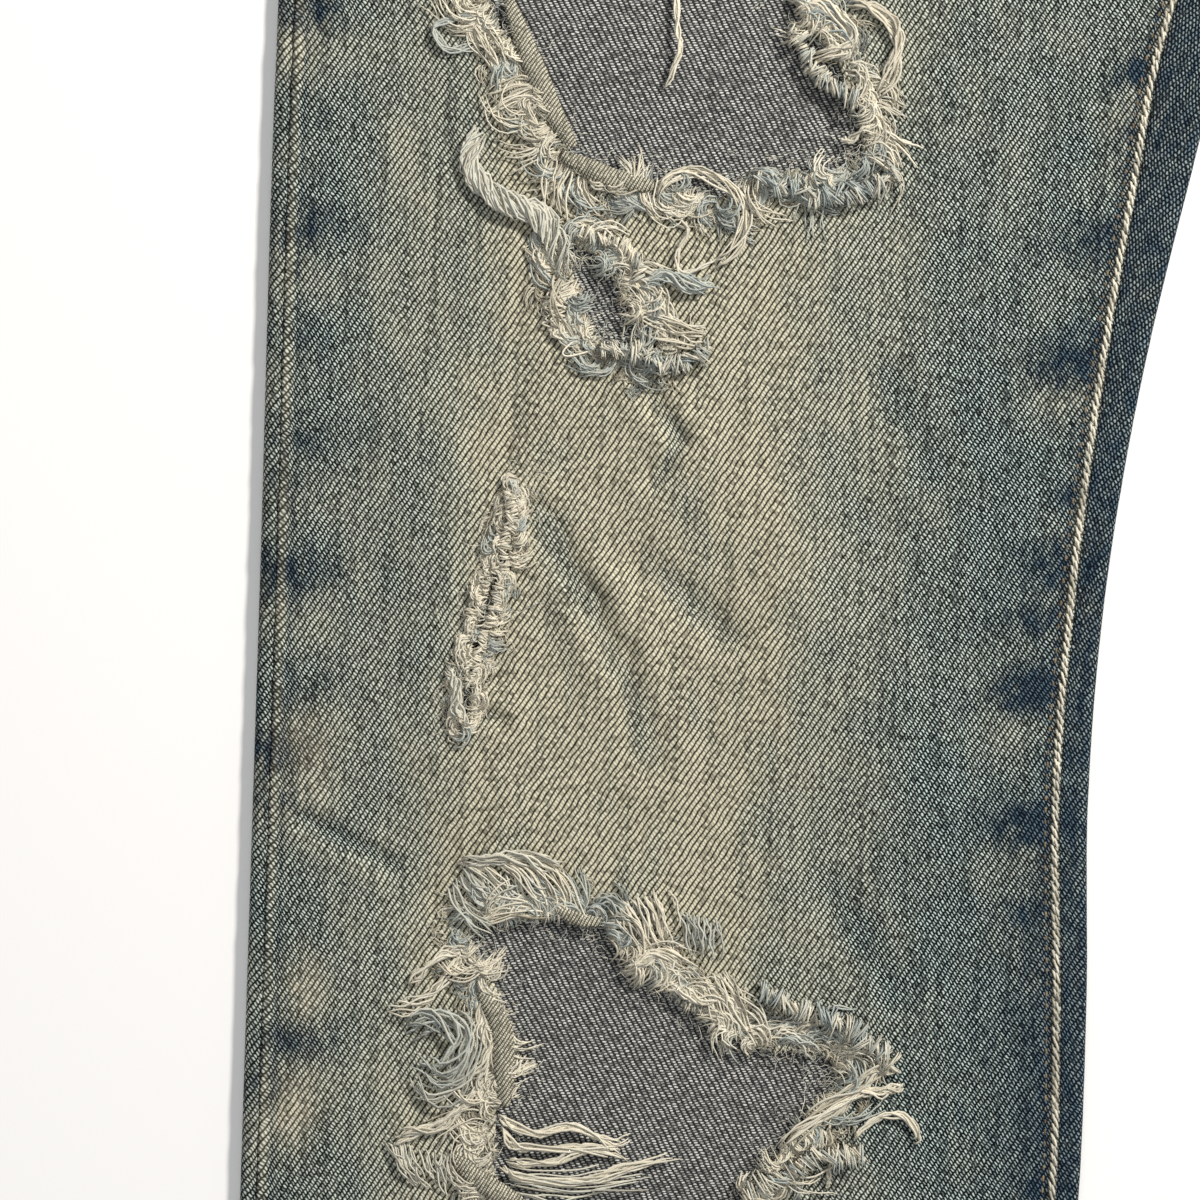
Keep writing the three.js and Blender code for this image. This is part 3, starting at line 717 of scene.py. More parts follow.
def denim_material(face):
    """The denim seen from its right or its wrong side."""
    if face in DENIM_LOOKS:
        return DENIM_LOOKS[face]
    colours = bpy.context.scene.jeans_colours
    sizes = bpy.context.scene.jeans_sizes
    look = Look(f"denim {face} side", 0.92)
    look.shader.inputs["Specular IOR Level"].default_value = 0.12
    place, u, v = look.weave_place()
    clouds = look.noise(place, 45.0, 3.0, 0.6)
    streaks = look.noise(look.join(look.math("MULTIPLY", u, 620.0), look.math("MULTIPLY", v, 26.0)), 1.0, 2.0)
    grain = look.noise(place, 3200.0, 2.0)
    patchy = look.noise(place, 520.0, 3.0, 0.65)
    crown, ridge_crown, float_shade, yarn_shade = twill(look, u, v, place, face)
    bare = look.attribute("bare")
    if face == "right":
        fade_and_shade = look.attribute("fade_and_shade")
        fade_and_shade = look.math("MULTIPLY_ADD", clouds, 0.06, fade_and_shade)
        fade_and_shade = look.math("MULTIPLY_ADD", streaks, 0.10, fade_and_shade, clamp=True)
        stretched = look.join(look.math("MULTIPLY", u, 420.0), look.math("MULTIPLY", v, 150.0))
        broken = look.noise(stretched, 1.0, 3.0, 0.65)
        navy_and_shade = look.math("MULTIPLY_ADD", look.attribute("navy_and_shade"), 1.5, -0.18)
        navy_and_shade = look.math("MULTIPLY_ADD", broken, 0.42, navy_and_shade)
        near_navy = look.math("GREATER_THAN", look.attribute("navy_and_shade"), 0.02)
        navy_and_shade = look.math("MULTIPLY", near_navy, navy_and_shade, clamp=True)
        dark = look.blend(fade_and_shade, colours.slate_ground, colours.sand_ground)
        light = look.blend(fade_and_shade, colours.slate_crown, colours.sand_crown)
        dark = look.blend(navy_and_shade, dark, colours.navy_ground)
        light = look.blend(navy_and_shade, light, colours.navy_crown)
        dark = look.blend(bare, dark, colours.bare_ground)
        light = look.blend(bare, light, colours.bare_crown)
        worn = look.math("MAXIMUM", fade_and_shade, bare)
        worn = look.math("SUBTRACT", worn, look.math("MULTIPLY", navy_and_shade, 0.6), clamp=True)
        body = look.mix(look.math("MULTIPLY", worn, 0.7), crown, ridge_crown)
        power = look.mix(worn, 2.1, 1.5)
        even = look.mix(worn, 0.26, 0.37)
        variety = look.math("MULTIPLY_ADD", float_shade, look.mix(worn, 0.78, 0.58), even)
        variety = look.math("MULTIPLY_ADD", yarn_shade, 0.48, variety)
        slubs = look.math("MULTIPLY", streaks, look.mix(worn, 0.34, 0.10))
        variety = look.math("ADD", variety, slubs, clamp=True)
        fill = look.math("MULTIPLY", patchy, 0.10)
        grain_share, relief, depth = 0.10, 0.12, 0.00020
    else:
        dark = look.blend(bare, colours.inside_ground, colours.bare_ground)
        light = look.blend(bare, colours.inside_crown, colours.bare_crown)
        body = crown
        power = 0.8
        variety = look.math("MULTIPLY_ADD", float_shade, 0.85, 0.32)
        variety = look.math("MULTIPLY_ADD", clouds, 0.08, variety)
        fill = look.math("MULTIPLY", patchy, 0.12)
        grain_share, relief, depth = 0.14, 0.15, 0.00016
    # Painted shading of the weave: brightness follows the rounded crown of each float and ridge, so the gaps
    # between floats take painted shade and the float tops painted light, over the real pale rubbed tops and
    # dark indigo.
    lit = look.math("MULTIPLY", look.math("POWER", body, power), variety)
    lit = look.math("ADD", lit, fill)
    lit = look.math("MULTIPLY_ADD", grain, grain_share, lit, clamp=True)
    look.colour(look.blend(lit, dark, light))
    look.bump(look.math("MULTIPLY_ADD", grain, relief, body), depth, 0.9)
    DENIM_LOOKS[face] = look.material
    return look.material


def yarn_material():
    """Loose cotton yarn: cream weft where tone is 0, washed blue warp where it is 1."""
    colours = bpy.context.scene.jeans_colours
    look = Look("loose cotton yarn", 0.95)
    look.shader.inputs["Specular IOR Level"].default_value = 0.1
    tone = look.attribute("tone")
    shade = look.attribute("shade")
    place = look.node("ShaderNodeTexCoord").outputs["Object"]
    mottle = look.noise(place, 1500.0, 2.0)
    tone = look.math("MULTIPLY_ADD", mottle, 0.12, tone, clamp=True)
    base = look.blend(tone, colours.weft_yarn, colours.warp_yarn)
    # A low shade turns a yarn to its shadow colour: painted shade for yarns under others and inside rolls,
    # soiling where the shade varies at random from yarn to yarn.
    deep = look.blend(tone, colours.weft_shadow, colours.warp_shadow)
    light = look.math("MULTIPLY_ADD", mottle, 0.15, shade, clamp=True)
    look.colour(look.blend(light, deep, base))
    look.bump(look.noise(place, 4200.0, 1.0), 0.00006, 0.5)
    return look.material


def thread_material():
    """Topstitching thread, tan cotton with a twist."""
    colours = bpy.context.scene.jeans_colours
    look = Look("topstitch thread", 0.8)
    place = look.node("ShaderNodeTexCoord").outputs["Object"]
    twist = look.node("ShaderNodeTexWave", wave_type="BANDS", bands_direction="DIAGONAL")
    look.feed(twist.inputs["Vector"], place)
    twist.inputs["Scale"].default_value = 900.0
    worn = look.noise(place, 120.0, 2.0)
    share = look.math("MULTIPLY_ADD", worn, 0.25, look.attribute("shade"), clamp=True)
    base = look.blend(share, colours.thread_dark, colours.thread)
    # The twist bands are painted darker: painted shade in the grooves of the twist.
    look.colour(look.blend(look.math("MULTIPLY", twist.outputs[1], 0.35), base, colours.thread_dark))
    look.bump(twist.outputs[1], 0.00005, 0.6)
    return look.material


def button_material():
    """Worn copper with dark tarnish in its hollows."""
    colours = bpy.context.scene.jeans_colours
    look = Look("aged copper button", 0.42, 1.0)
    place = look.node("ShaderNodeTexCoord").outputs["Object"]
    spots = look.noise(place, 900.0, 3.0, 0.6)
    wear = look.noise(place, 260.0, 2.0)
    hollow = look.math("MULTIPLY_ADD", spots, 0.25, look.attribute("hollow"), clamp=True)
    base = look.blend(hollow, colours.button_bright, colours.button_dark)
    look.colour(base)
    look.feed(look.shader.inputs["Roughness"], look.math("MULTIPLY_ADD", wear, 0.08, 0.42))
    look.bump(spots, 0.00008, 0.6)
    return look.material


# ------------------------------------------------------------------ flat panels of the front


def resample(line, step):
    line = np.asarray(line, float)
    gaps = np.linalg.norm(np.diff(line, axis=0), axis=1)
    run = np.concatenate([[0], np.cumsum(gaps)])
    at = np.linspace(0, run[-1], max(2, int(round(run[-1] / step)) + 1))
    return np.column_stack([np.interp(at, run, line[:, k]) for k in range(line.shape[1])])


def leg_rows(low, high, word, worn_step=1.6):
    """Heights along a leg, close together where the right leg is worn through."""
    stops = [low, *[y for y in WORN_Y if low < y < high], high] if word == "right" else [low, high]
    rows = []
    for a, b in zip(stops[:-1], stops[1:]):
        step = worn_step if word == "right" and a >= WORN_Y[0] and b <= WORN_Y[1] else 5.0
        rows.append(np.linspace(a, b, int((b - a) / step) + 1, endpoint=False))
    return np.append(np.concatenate(rows), high)


def front_outer_x(y):
    return outer_fold(y) - OUTSEAM_TURN - GAP


def front_inner_x(y):
    return inner_fold(y) + inseam_turn(y) + GAP


def mouth_curve(inset):
    """The mouth of a front pocket from the waistband to the outseam, drawn in by the inset."""
    t = np.linspace(0, 1, 400)[:, None]
    top = np.array(MOUTH_TOP) + (inset, 0)
    bend = np.array(MOUTH_BEND) + (inset, inset)
    end = np.array(MOUTH_SIDE) + (0, inset)
    curve = (1 - t) ** 2 * top + 2 * t * (1 - t) * bend + t ** 2 * end
    below_band = curve[:, 1] < front_waist_y(curve[:, 0]) - GAP
    return resample(curve[below_band & (curve[:, 0] < front_outer_x(curve[:, 1]))], 2.5)


def mouth_distance(x, y):
    half = np.abs(x)
    return outline_distance(half, y, mouth_curve(0))


def front_outline(word):
    mouth = mouth_curve(0)[::-1]
    rows = leg_rows(HEM_Y, mouth[0, 1] - 0.5, word)
    outer = np.c_[front_outer_x(rows), rows]
    mouth[0, 0] = front_outer_x(mouth[0, 1])
    waist_x = np.linspace(mouth[-1, 0], GAP / 2, 26)
    waist = np.c_[waist_x, front_waist_y(waist_x) - GAP]
    centre = np.c_[np.full(42, GAP / 2), np.linspace(front_waist_y(0) - GAP, 0, 42)]
    rows = leg_rows(HEM_Y, CROTCH_END_Y + GAP, word)[::-1]
    inner = np.c_[front_inner_x(rows), rows]
    hem_x = np.linspace(front_inner_x(HEM_Y), front_outer_x(HEM_Y), 60)[1:-1]
    hem = np.c_[hem_x, np.full(58, HEM_Y)]
    return np.vstack([outer, mouth, waist[1:], centre[1:], inner, hem])


def facing_outline():
    mouth = mouth_curve(GAP)
    waist_x = np.linspace(front_outer_x(SIDE_WAIST_Y), mouth[0, 0], 24)
    waist = np.c_[waist_x, front_waist_y(waist_x) - GAP]
    rows = np.linspace(mouth[-1, 1], waist[0, 1], 24)
    outer = np.c_[front_outer_x(rows), rows]
    return np.vstack([mouth[:-1], outer[:-1], waist[:-1]])


def staggered(step, box):
    """Points of a triangular grid over a box of (low x, low y, high x, high y)."""
    ys = np.arange(box[1], box[3], step * 0.866)
    xs = np.arange(box[0], box[2], step)
    x, y = np.meshgrid(xs, ys)
    x[1::2] += step / 2
    return np.c_[x.ravel(), y.ravel()]


def crease_distance(x, y):
    return np.minimum.reduce([segment_distance(x, y, a, b) for a, b, _, _ in CREASES])


def flat_mesh(outline, holes, inner_points):
    """Triangles over an outline with holes, through the given inner points."""
    loops = [outline, *holes]
    points = np.vstack([*loops, inner_points])
    edges, start = [], 0
    for loop in loops:
        edges += [(start + i, start + (i + 1) % len(loop)) for i in range(len(loop))]
        start += len(loop)
    found = delaunay_2d_cdt([Vector(p) for p in points], edges, [], 0, 1e-5)
    flat = np.array([tuple(p) for p in found[0]])
    faces = np.array(found[2])
    middle = flat[faces].mean(axis=1)
    keep = inside(middle[:, 0], middle[:, 1], outline)
    for hole in holes:
        keep &= ~inside(middle[:, 0], middle[:, 1], hole)
    faces = faces[keep]
    a, b, c = flat[faces[:, 0]], flat[faces[:, 1]], flat[faces[:, 2]]
    turned = (b[:, 0] - a[:, 0]) * (c[:, 1] - a[:, 1]) < (b[:, 1] - a[:, 1]) * (c[:, 0] - a[:, 0])
    faces[turned] = faces[turned][:, ::-1]
    used, numbers = np.unique(faces, return_inverse=True)
    return flat[used], numbers.reshape(faces.shape)


def clear_of(points, outline, margin):
    good = inside(points[:, 0], points[:, 1], outline)
    good[good] = outline_distance(points[good, 0], points[good, 1], outline) > margin
    return points[good]


def seam_rails(word):
    """Rows of points beside the outseam and the inseam, where the felled edges stand up."""
    rails = []
    rows = leg_rows(HEM_Y + 2, 90.0, word)
    offsets = (0.55, 1.1, 1.7, 2.4, 3.3, 4.6, 6.2) if word == "right" else (0.8, 1.7, 3.0, 5.0)
    for inset in offsets:
        rails.append(np.c_[front_outer_x(rows) - inset, rows])
        legs = rows[rows < CROTCH_END_Y - 3]
        rails.append(np.c_[front_inner_x(legs) + inset, legs])
    return np.vstack(rails)


def front_points(word, outline):
    """Inner points of a front panel: coarse everywhere, finer where the leg is worn."""
    x_side = -1 if word == "right" else 1
    rails = seam_rails(word) * (x_side, 1)
    near_rail = 8.0
    coarse = clear_of(staggered(7.0, (-340, HEM_Y, 340, 210)), outline, 3.0)
    half = np.abs(coarse[:, 0])
    by_outer = front_outer_x(coarse[:, 1]) - half < near_rail
    by_inner = (coarse[:, 1] < CROTCH_END_Y) & (half - front_inner_x(coarse[:, 1]) < near_rail)
    coarse = coarse[~(by_outer | by_inner)]
    if word == "left":
        return np.vstack([coarse, rails])
    worn = (coarse[:, 1] > WORN_Y[0]) & (coarse[:, 1] < WORN_Y[1])
    coarse = coarse[~worn]
    medium = staggered(2.5, (-325, WORN_Y[0], -60, WORN_Y[1]))
    x, y = medium.T
    half = np.abs(x)
    good = (front_outer_x(y) - half > near_rail - 0.6) & (half - front_inner_x(y) > near_rail - 0.6)
    medium, x, y = medium[good], x[good], y[good]
    medium = medium[(rip_distance(x, y) > 6.0) & (crease_distance(x, y) > 4.5)]
    close = staggered(0.95, (-275, -500, -145, -100))
    away = rip_distance(close[:, 0], close[:, 1])
    close = close[(away > 0.9) & (away < 5.6)]
    pressed = staggered(1.3, (-310, -400, -135, -232))
    x, y = pressed.T
    pressed = pressed[(crease_distance(x, y) < 4.2) & (rip_distance(x, y) > 6.2)]
    return np.vstack([coarse, rails, medium, close, pressed])


def hem_share(y):
    return 1 - smoothstep(y, HEM_Y + HEM_TURN, HEM_Y + HEM_TURN + 3)


def front_wall(name, word, outline, holes, inner_points):
    flat, faces = flat_mesh(outline, holes, inner_points)
    x, y = flat.T
    sizes = bpy.context.scene.jeans_sizes
    cloth = sizes.cloth / MM
    hem = sizes.hem_cloth / MM
    z = front_height(x, y, word, cloth)
    thickness = cloth + (hem - cloth) * hem_share(y)
    z = np.maximum(z, 1.5 * thickness + GAP + 0.3 * hem_share(y))
    points = np.c_[x, y, z]
    return cloth_wall(name, points, faces, flat, wash(x, y, word, "front"), thickness)


def front_panel(word):
    side = -1 if word == "right" else 1
    outline = front_outline(word) * (side, 1)
    holes = FRAYED_RIPS if word == "right" else []
    return front_wall(f"{word}_front", word, outline, holes, front_points(word, outline))


def pocket_facing(word):
    side = -1 if word == "right" else 1
    outline = facing_outline() * (side, 1)
    low, high = outline.min(axis=0), outline.max(axis=0)
    points = clear_of(staggered(4.0, (*low, *high)), outline, 2.0)
    return front_wall(f"{word}_pocket_facing", word, outline, [], points)


# ------------------------------------------------------------------ back panels, yokes and seat pockets


def waist_height(half, y, cloth):
    return cloth / 2 + np.maximum(seat_lift(half, y), waist_lift(half, y))


def back_row(y_at, cloth, flat_columns):
    """One row of the back layer, from the outseam round the outer fold to the inseam or centre back."""
    front_z = LEG_HEIGHT - cloth / 2
    radius = (front_z - cloth / 2) / 2
    turn = radius + cloth / 2
    nominal = float(y_at(np.array(WAIST_HALF)))
    outer = float(outer_fold(nominal))
    strip = np.linspace(outer - OUTSEAM_TURN, outer - turn, 5)[:-1]
    angles = np.pi * (0.5 - np.linspace(0, 1, 11))
    middle = cloth / 2 + radius
    has_fold = nominal <= CROTCH_END_Y
    inner = float(inner_fold(nominal)) + turn if has_fold else GAP / 2 + 8
    flat = np.linspace(outer - turn, inner, flat_columns)[1:-1]
    ends = np.linspace(0, 1, 7)[1:]
    half = [strip, outer - turn + radius * np.cos(angles), flat]
    level = [np.full(4, front_z), middle + radius * np.sin(angles), None]
    if has_fold:
        seam = float(inner_fold(nominal) + inseam_turn(nominal))
        half += [inner + radius * np.cos(angles + np.pi)[::-1], inner + (seam - inner) * ends]
        level += [middle + radius * np.sin(angles + np.pi)[::-1], np.full(6, front_z)]
        level[3] = middle - radius * np.cos(np.linspace(0, np.pi, 11))
        half[3] = inner - radius * np.sin(np.linspace(0, np.pi, 11))
    else:
        half += [np.linspace(inner, 4.0, 11), np.linspace(4.0, GAP / 2, 7)[1:]]
        level += [None, None]
    rows = []
    for part, z in zip(half, level):
        y = np.full(len(part), nominal) if z is not None else np.asarray(y_at(part), float)
        y = np.broadcast_to(y, part.shape)
        if z is None:
            z = waist_height(part, y, cloth)
        rows.append(np.c_[part, y, z])
    return np.vstack(rows)


def back_wall(name, word, rows, flat_columns, hem=False):
    side = -1 if word == "right" else 1
    sizes = bpy.context.scene.jeans_sizes
    cloth = sizes.cloth / MM
    grid = np.array([back_row(y_at, cloth, flat_columns) for y_at in rows])
    half, y = grid[..., 0].copy(), grid[..., 1]
    run = np.cumsum(np.hypot(np.diff(half, axis=1, prepend=half[:, :1]),
                             np.diff(grid[..., 2], axis=1, prepend=grid[:, :1, 2])), axis=1)
    grid[..., 0] *= side
    columns = half.shape[1]
    number = np.arange(columns)
    on_front = (number < 9) | (number > columns - 13)
    on_front = np.broadcast_to(on_front, half.shape) & (grid[..., 2] > LEG_HEIGHT / 2)
    front, back = wash(grid[..., 0], y, word, "front"), wash(grid[..., 0], y, word, "back")
    shades = {key: np.where(on_front, front[key], back[key]) for key in front}
    turned = np.where(number > columns - 13, 0.62, 0.12)
    shades["navy_and_shade"] = np.where(on_front, np.maximum(front["navy_and_shade"], turned), back["navy_and_shade"])
    pucker = 0.14 * ripple(half * 0.4, y, 7.0, 8) * on_front * (y < CROTCH_END_Y)
    grid[..., 2] += pucker
    on_table = ~on_front & (y < 60)
    grid[..., 2] += 0.08 * on_table * (1 + ripple(half, y, 17.0, 9))
    thickness = np.full(half.shape, cloth)
    if hem:
        extra = (sizes.hem_cloth / MM - cloth) * hem_share(y)
        thickness = thickness + extra
        grid[..., 2] += np.where(on_front, 0, extra / 2)
    weave = np.stack([side * run, y], -1)
    return grid_wall(name, grid, weave, shades, thickness, side)


def back_panel(word):
    ys = leg_rows(HEM_Y, CROTCH_END_Y, word, 3.2)
    ys = np.concatenate([ys, np.arange(0, SEAT_FROM_Y, 5.0)])
    rows = [lambda half, y=y: np.full(np.shape(half), y) for y in ys]
    for t in np.linspace(0, 1, 18):
        rows.append(lambda half, t=t: SEAT_FROM_Y + t * (yoke_seam_y(half) - GAP / 2 - SEAT_FROM_Y))
    return back_wall(f"{word}_back", word, rows, 42, hem=True)


def yoke(word):
    rows = []
    for t in np.linspace(0, 1, 18):
        def y_at(half, t=t):
            low = yoke_seam_y(half) + GAP
            return low + t * (back_waist_y(half) - GAP - low)
        rows.append(y_at)
    return back_wall(f"{word}_yoke", word, rows, 46)


def seat_pocket(word):
    """A five-cornered patch pocket on the table side, its edges rubbed pale."""
    side = -1 if word == "right" else 1
    cloth = bpy.context.scene.jeans_sizes.cloth / MM
    corners = np.array(SEAT_POCKET, float) * (side, 1)
    outline = np.vstack([np.linspace(a, b, 30, endpoint=False)
                         for a, b in zip(corners, np.roll(corners, -1, 0))])
    low, high = outline.min(axis=0), outline.max(axis=0)
    points = clear_of(staggered(4.0, (*low, *high)), outline, 2.0)
    flat, faces = flat_mesh(outline, [], points)
    x, y = flat.T
    edge = outline_distance(x, y, outline)
    z = cloth / 2 + 0.10 * smoothstep(edge, 5, 20) * (1 + ripple(x, y, 40.0, 61))
    shades = wash(x, y, word, "back")
    shades["bare"] = np.clip(0.7 * np.exp(-(edge / 2.0) ** 2) * (0.6 + 0.4 * ripple(x, y, 20.0, 62)), 0, 1)
    weave = flat * (-1, 1)
    return cloth_wall(f"{word}_seat_pocket", np.c_[x, y, z], faces[:, ::-1], weave, shades, cloth)


# ------------------------------------------------------------------ waistband, belt loops and button


def band_levels():
    back = LOOP_LIFT + BAND_CLOTH / 2
    front = BAND_TOP - BAND_CLOTH / 2
    return back, front, front + BAND_CLOTH + GAP


def waistband():
    back_z, front_z, over_z = band_levels()
    radius = (front_z - back_z) / 2
    flat_half = WAIST_HALF - radius - BAND_CLOTH / 2
    fold = np.pi * (0.5 - np.linspace(0, 1, 13))[1:-1]
    fold_points = np.c_[flat_half + radius * np.cos(fold), np.full(len(fold), SIDE_WAIST_Y),
                        back_z + radius + radius * np.sin(fold)]

    def front(xs, z):
        xs = np.asarray(xs, float)
        return np.c_[xs, front_waist_y(xs), np.broadcast_to(z, xs.shape)]

    over = np.linspace(-20, 62, 30)
    climb = over_z - (over_z - front_z) * smoothstep(over, 38, 62)
    back_x = np.linspace(190, -190, 96)
    stations = np.vstack([
        front(over, climb),
        front(np.linspace(64, 224, 54), front_z),
        fold_points,
        np.c_[back_x, back_waist_y(back_x), np.full(96, back_z)],
        fold_points[::-1] * (-1, 1, 1),
        front(np.linspace(-224, 30, 84), front_z),
    ])
    lower = stations + (0, GAP / 2, 0)
    narrowing = float(outer_fold(SIDE_WAIST_Y + BAND_WIDTH)) / WAIST_HALF
    narrow = 1 + (narrowing - 1) * (stations[:, 0] / flat_half) ** 2
    upper = stations * np.c_[narrow, np.ones(len(stations)), np.ones(len(stations))] + (0, BAND_WIDTH, 0)
    share = np.linspace(0, 1, 15)[:, None, None]
    grid = lower + (upper - lower) * share
    steps = np.linalg.norm(np.diff(stations, axis=0, prepend=stations[:1]), axis=1)
    run = np.broadcast_to(np.cumsum(steps), grid.shape[:2])
    across = np.broadcast_to(share[..., 0] * BAND_WIDTH, grid.shape[:2])
    rim = np.minimum(across, BAND_WIDTH - across)
    thickness = BAND_CLOTH - 0.5 * np.exp(-rim / 0.8) + 0.12 * ripple(run, across, 11.0, 71)
    shades = {
        "fade_and_shade": np.clip(0.45 + 0.2 * ripple(run, across * 2, 40.0, 72), 0, 1),
        "navy_and_shade": np.clip(0.35 * ripple(run, across, 25.0, 73), 0, 1),
        "bare": np.clip(0.8 * np.exp(-(rim / 1.3) ** 2) * (0.7 + 0.3 * ripple(run, across, 15.0, 74)), 0, 1),
    }
    return grid_wall("band", grid, np.stack([across, run], -1), shades, thickness)


def belt_loop(name, x, seam_y, band_z, panel_z):
    """A short strap over the band, thinner and rubbed pale along both edges."""
    cloth = bpy.context.scene.jeans_sizes.cloth / MM
    ys = np.concatenate([np.linspace(seam_y + BAND_WIDTH, seam_y - 1, 22),
                         np.linspace(seam_y - 1, seam_y - 6, 7)[1:],
                         np.linspace(seam_y - 6, seam_y - 12, 5)[1:]])
    z = panel_z + (band_z - panel_z) * smoothstep(ys, seam_y - 6, seam_y - 1)
    xs = np.linspace(x - 6, x + 6, 11)
    grid = np.zeros((len(ys), len(xs), 3))
    grid[..., 0], grid[..., 1], grid[..., 2] = xs, ys[:, None], z[:, None]
    rim = np.minimum(xs - xs[0], xs[-1] - xs)
    crown = 0.18 * np.sin(np.pi * (xs - xs[0]) / 6.0) ** 2
    facing_up = 1 if band_z > LEG_HEIGHT else -1
    thickness = np.broadcast_to(cloth - 0.3 * np.exp(-rim / 0.5) + crown * 0.8, grid.shape[:2]).copy()
    shades = {
        "fade_and_shade": np.full(grid.shape[:2], 0.5),
        "navy_and_shade": np.zeros(grid.shape[:2]),
        "bare": np.broadcast_to(0.75 * np.exp(-(rim / 0.9) ** 2), grid.shape[:2]).copy(),
    }
    weave = grid[..., :2].copy()
    if facing_up > 0:
        return grid_wall(name, grid[::-1], weave[::-1], {k: v[::-1] for k, v in shades.items()},
                         thickness[::-1])
    return grid_wall(name, grid, weave, shades, thickness)


def waist_button():
    """A shank button: a rolled rim round a dished face with a raised ring."""
    low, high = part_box("waist_button")
    centre = np.array([(low.x + high.x) / 2, (low.y + high.y) / 2, low.z]) / MM - (0, GARMENT_SHIFT, 0)
    radius = (high.x - low.x) / 2 / MM
    height = (high.z - low.z) / MM
    profile = np.array((
        (0.0, 0.0, 0), (0.86, 0.0, 0), (0.97, 0.22, 0), (1.0, 0.48, 0), (0.98, 0.76, 0), (0.92, 0.94, 0),
        (0.86, 1.0, 0), (0.80, 0.94, 0.3), (0.76, 0.78, 1), (0.72, 0.70, 1), (0.62, 0.68, 0.6),
        (0.58, 0.76, 0.1), (0.54, 0.78, 0), (0.50, 0.74, 0.5), (0.46, 0.66, 1), (0.30, 0.64, 0.4),
        (0.10, 0.66, 0.2), (0.0, 0.66, 0.2),
    ))
    around = np.arange(64) * 2 * np.pi / 64
    rings = profile[1:-1]
    points = np.zeros((len(rings), 64, 3))
    points[..., 0] = rings[:, :1] * radius * np.cos(around)
    points[..., 1] = rings[:, :1] * radius * np.sin(around)
    points[..., 2] = rings[:, 1:2] * height
    hollow = np.repeat(rings[:, 2], 64)
    r, a = np.meshgrid(np.arange(len(rings) - 1), np.arange(64), indexing="ij")
    walls = np.stack([r * 64 + a, r * 64 + (a + 1) % 64, (r + 1) * 64 + (a + 1) % 64, (r + 1) * 64 + a],
                     -1).reshape(-1, 4)
    flat = points.reshape(-1, 3)
    bottom, top = len(flat), len(flat) + 1
    flat = np.vstack([flat, (0, 0, 0), (0, 0, profile[-1, 1] * height)]) + centre
    first, last = np.arange(64), (len(rings) - 1) * 64 + np.arange(64)
    caps = np.vstack([
        np.c_[np.full(64, bottom), np.roll(first, -1), first],
        np.c_[np.full(64, top), last, np.roll(last, -1)],
    ])
    hollow = np.append(hollow, (0.0, 0.2))
    return make_object("shank_button", flat, [walls, caps], None, {"hollow": hollow}, (button_material(),))


# ------------------------------------------------------------------ stitching


def stitch_paths(line, up, pitch=3.0, length=2.3, seed=1):
    """Short arched paths along a line: the visible thread of each stitch."""
    line = np.asarray(line, float)
    gaps = np.linalg.norm(np.diff(line, axis=0), axis=1)
    run = np.concatenate([[0], np.cumsum(gaps)])
    rng = np.random.default_rng(seed)
    middles = np.arange(pitch / 2, run[-1] - pitch / 2, pitch)
    middles = middles + rng.normal(0, 0.10, len(middles))
    at = middles[:, None] + np.linspace(-0.5, 0.5, 5) * length
    paths = np.stack([np.interp(at, run, line[:, k]) for k in range(3)], -1)
    arch = np.array((-0.30, 0.10, 0.17, 0.10, -0.30)) - (UNDER_SINK if up[2] < 0 else 0)
    return paths + np.asarray(up, float) * arch[:, None]


def front_line(points, word, lift=0.0):
    """A line on the top of the front layer, through flat points."""
    points = np.asarray(points, float)
    cloth = bpy.context.scene.jeans_sizes.cloth / MM
    hem = bpy.context.scene.jeans_sizes.hem_cloth / MM
    thickness = cloth + (hem - cloth) * hem_share(points[:, 1])
    z = front_height(points[:, 0], points[:, 1], word, cloth)
    z = np.maximum(z, 1.5 * thickness + GAP + 0.3 * hem_share(points[:, 1]))
    return np.c_[points, z + thickness / 2 + lift]


def back_line(points, lift=0.0):
    """A line on the table side of the back layer, through flat points."""
    points = np.asarray(points, float)
    cloth = bpy.context.scene.jeans_sizes.cloth / MM
    return np.c_[points, waist_height(points[:, 0], points[:, 1], cloth) - cloth / 2 - lift]


def inset_corners(corners, inset):
    """The corners of a closed outline drawn in by the inset."""
    p = np.array(corners, float)
    ahead = np.roll(p, -1, 0) - p
    ahead /= np.linalg.norm(ahead, axis=1)[:, None]
    before = np.roll(ahead, 1, 0)
    n1 = np.c_[-before[:, 1], before[:, 0]]
    n2 = np.c_[-ahead[:, 1], ahead[:, 0]]
    return p + inset * (n1 + n2) / (1 + (n1 * n2).sum(axis=1))[:, None]


def stitches_piece(name, groups, radius, seed):
    paths = np.vstack(groups)
    rng = np.random.default_rng(seed)
    radii = np.tile(np.array((0.7, 1.0, 1.05, 1.0, 0.7)) * radius, (len(paths), 1))
    shade = rng.uniform(0.45, 1.0, len(paths))
    return tubes(name, paths, radii, {"shade": shade}, (thread_material(),))


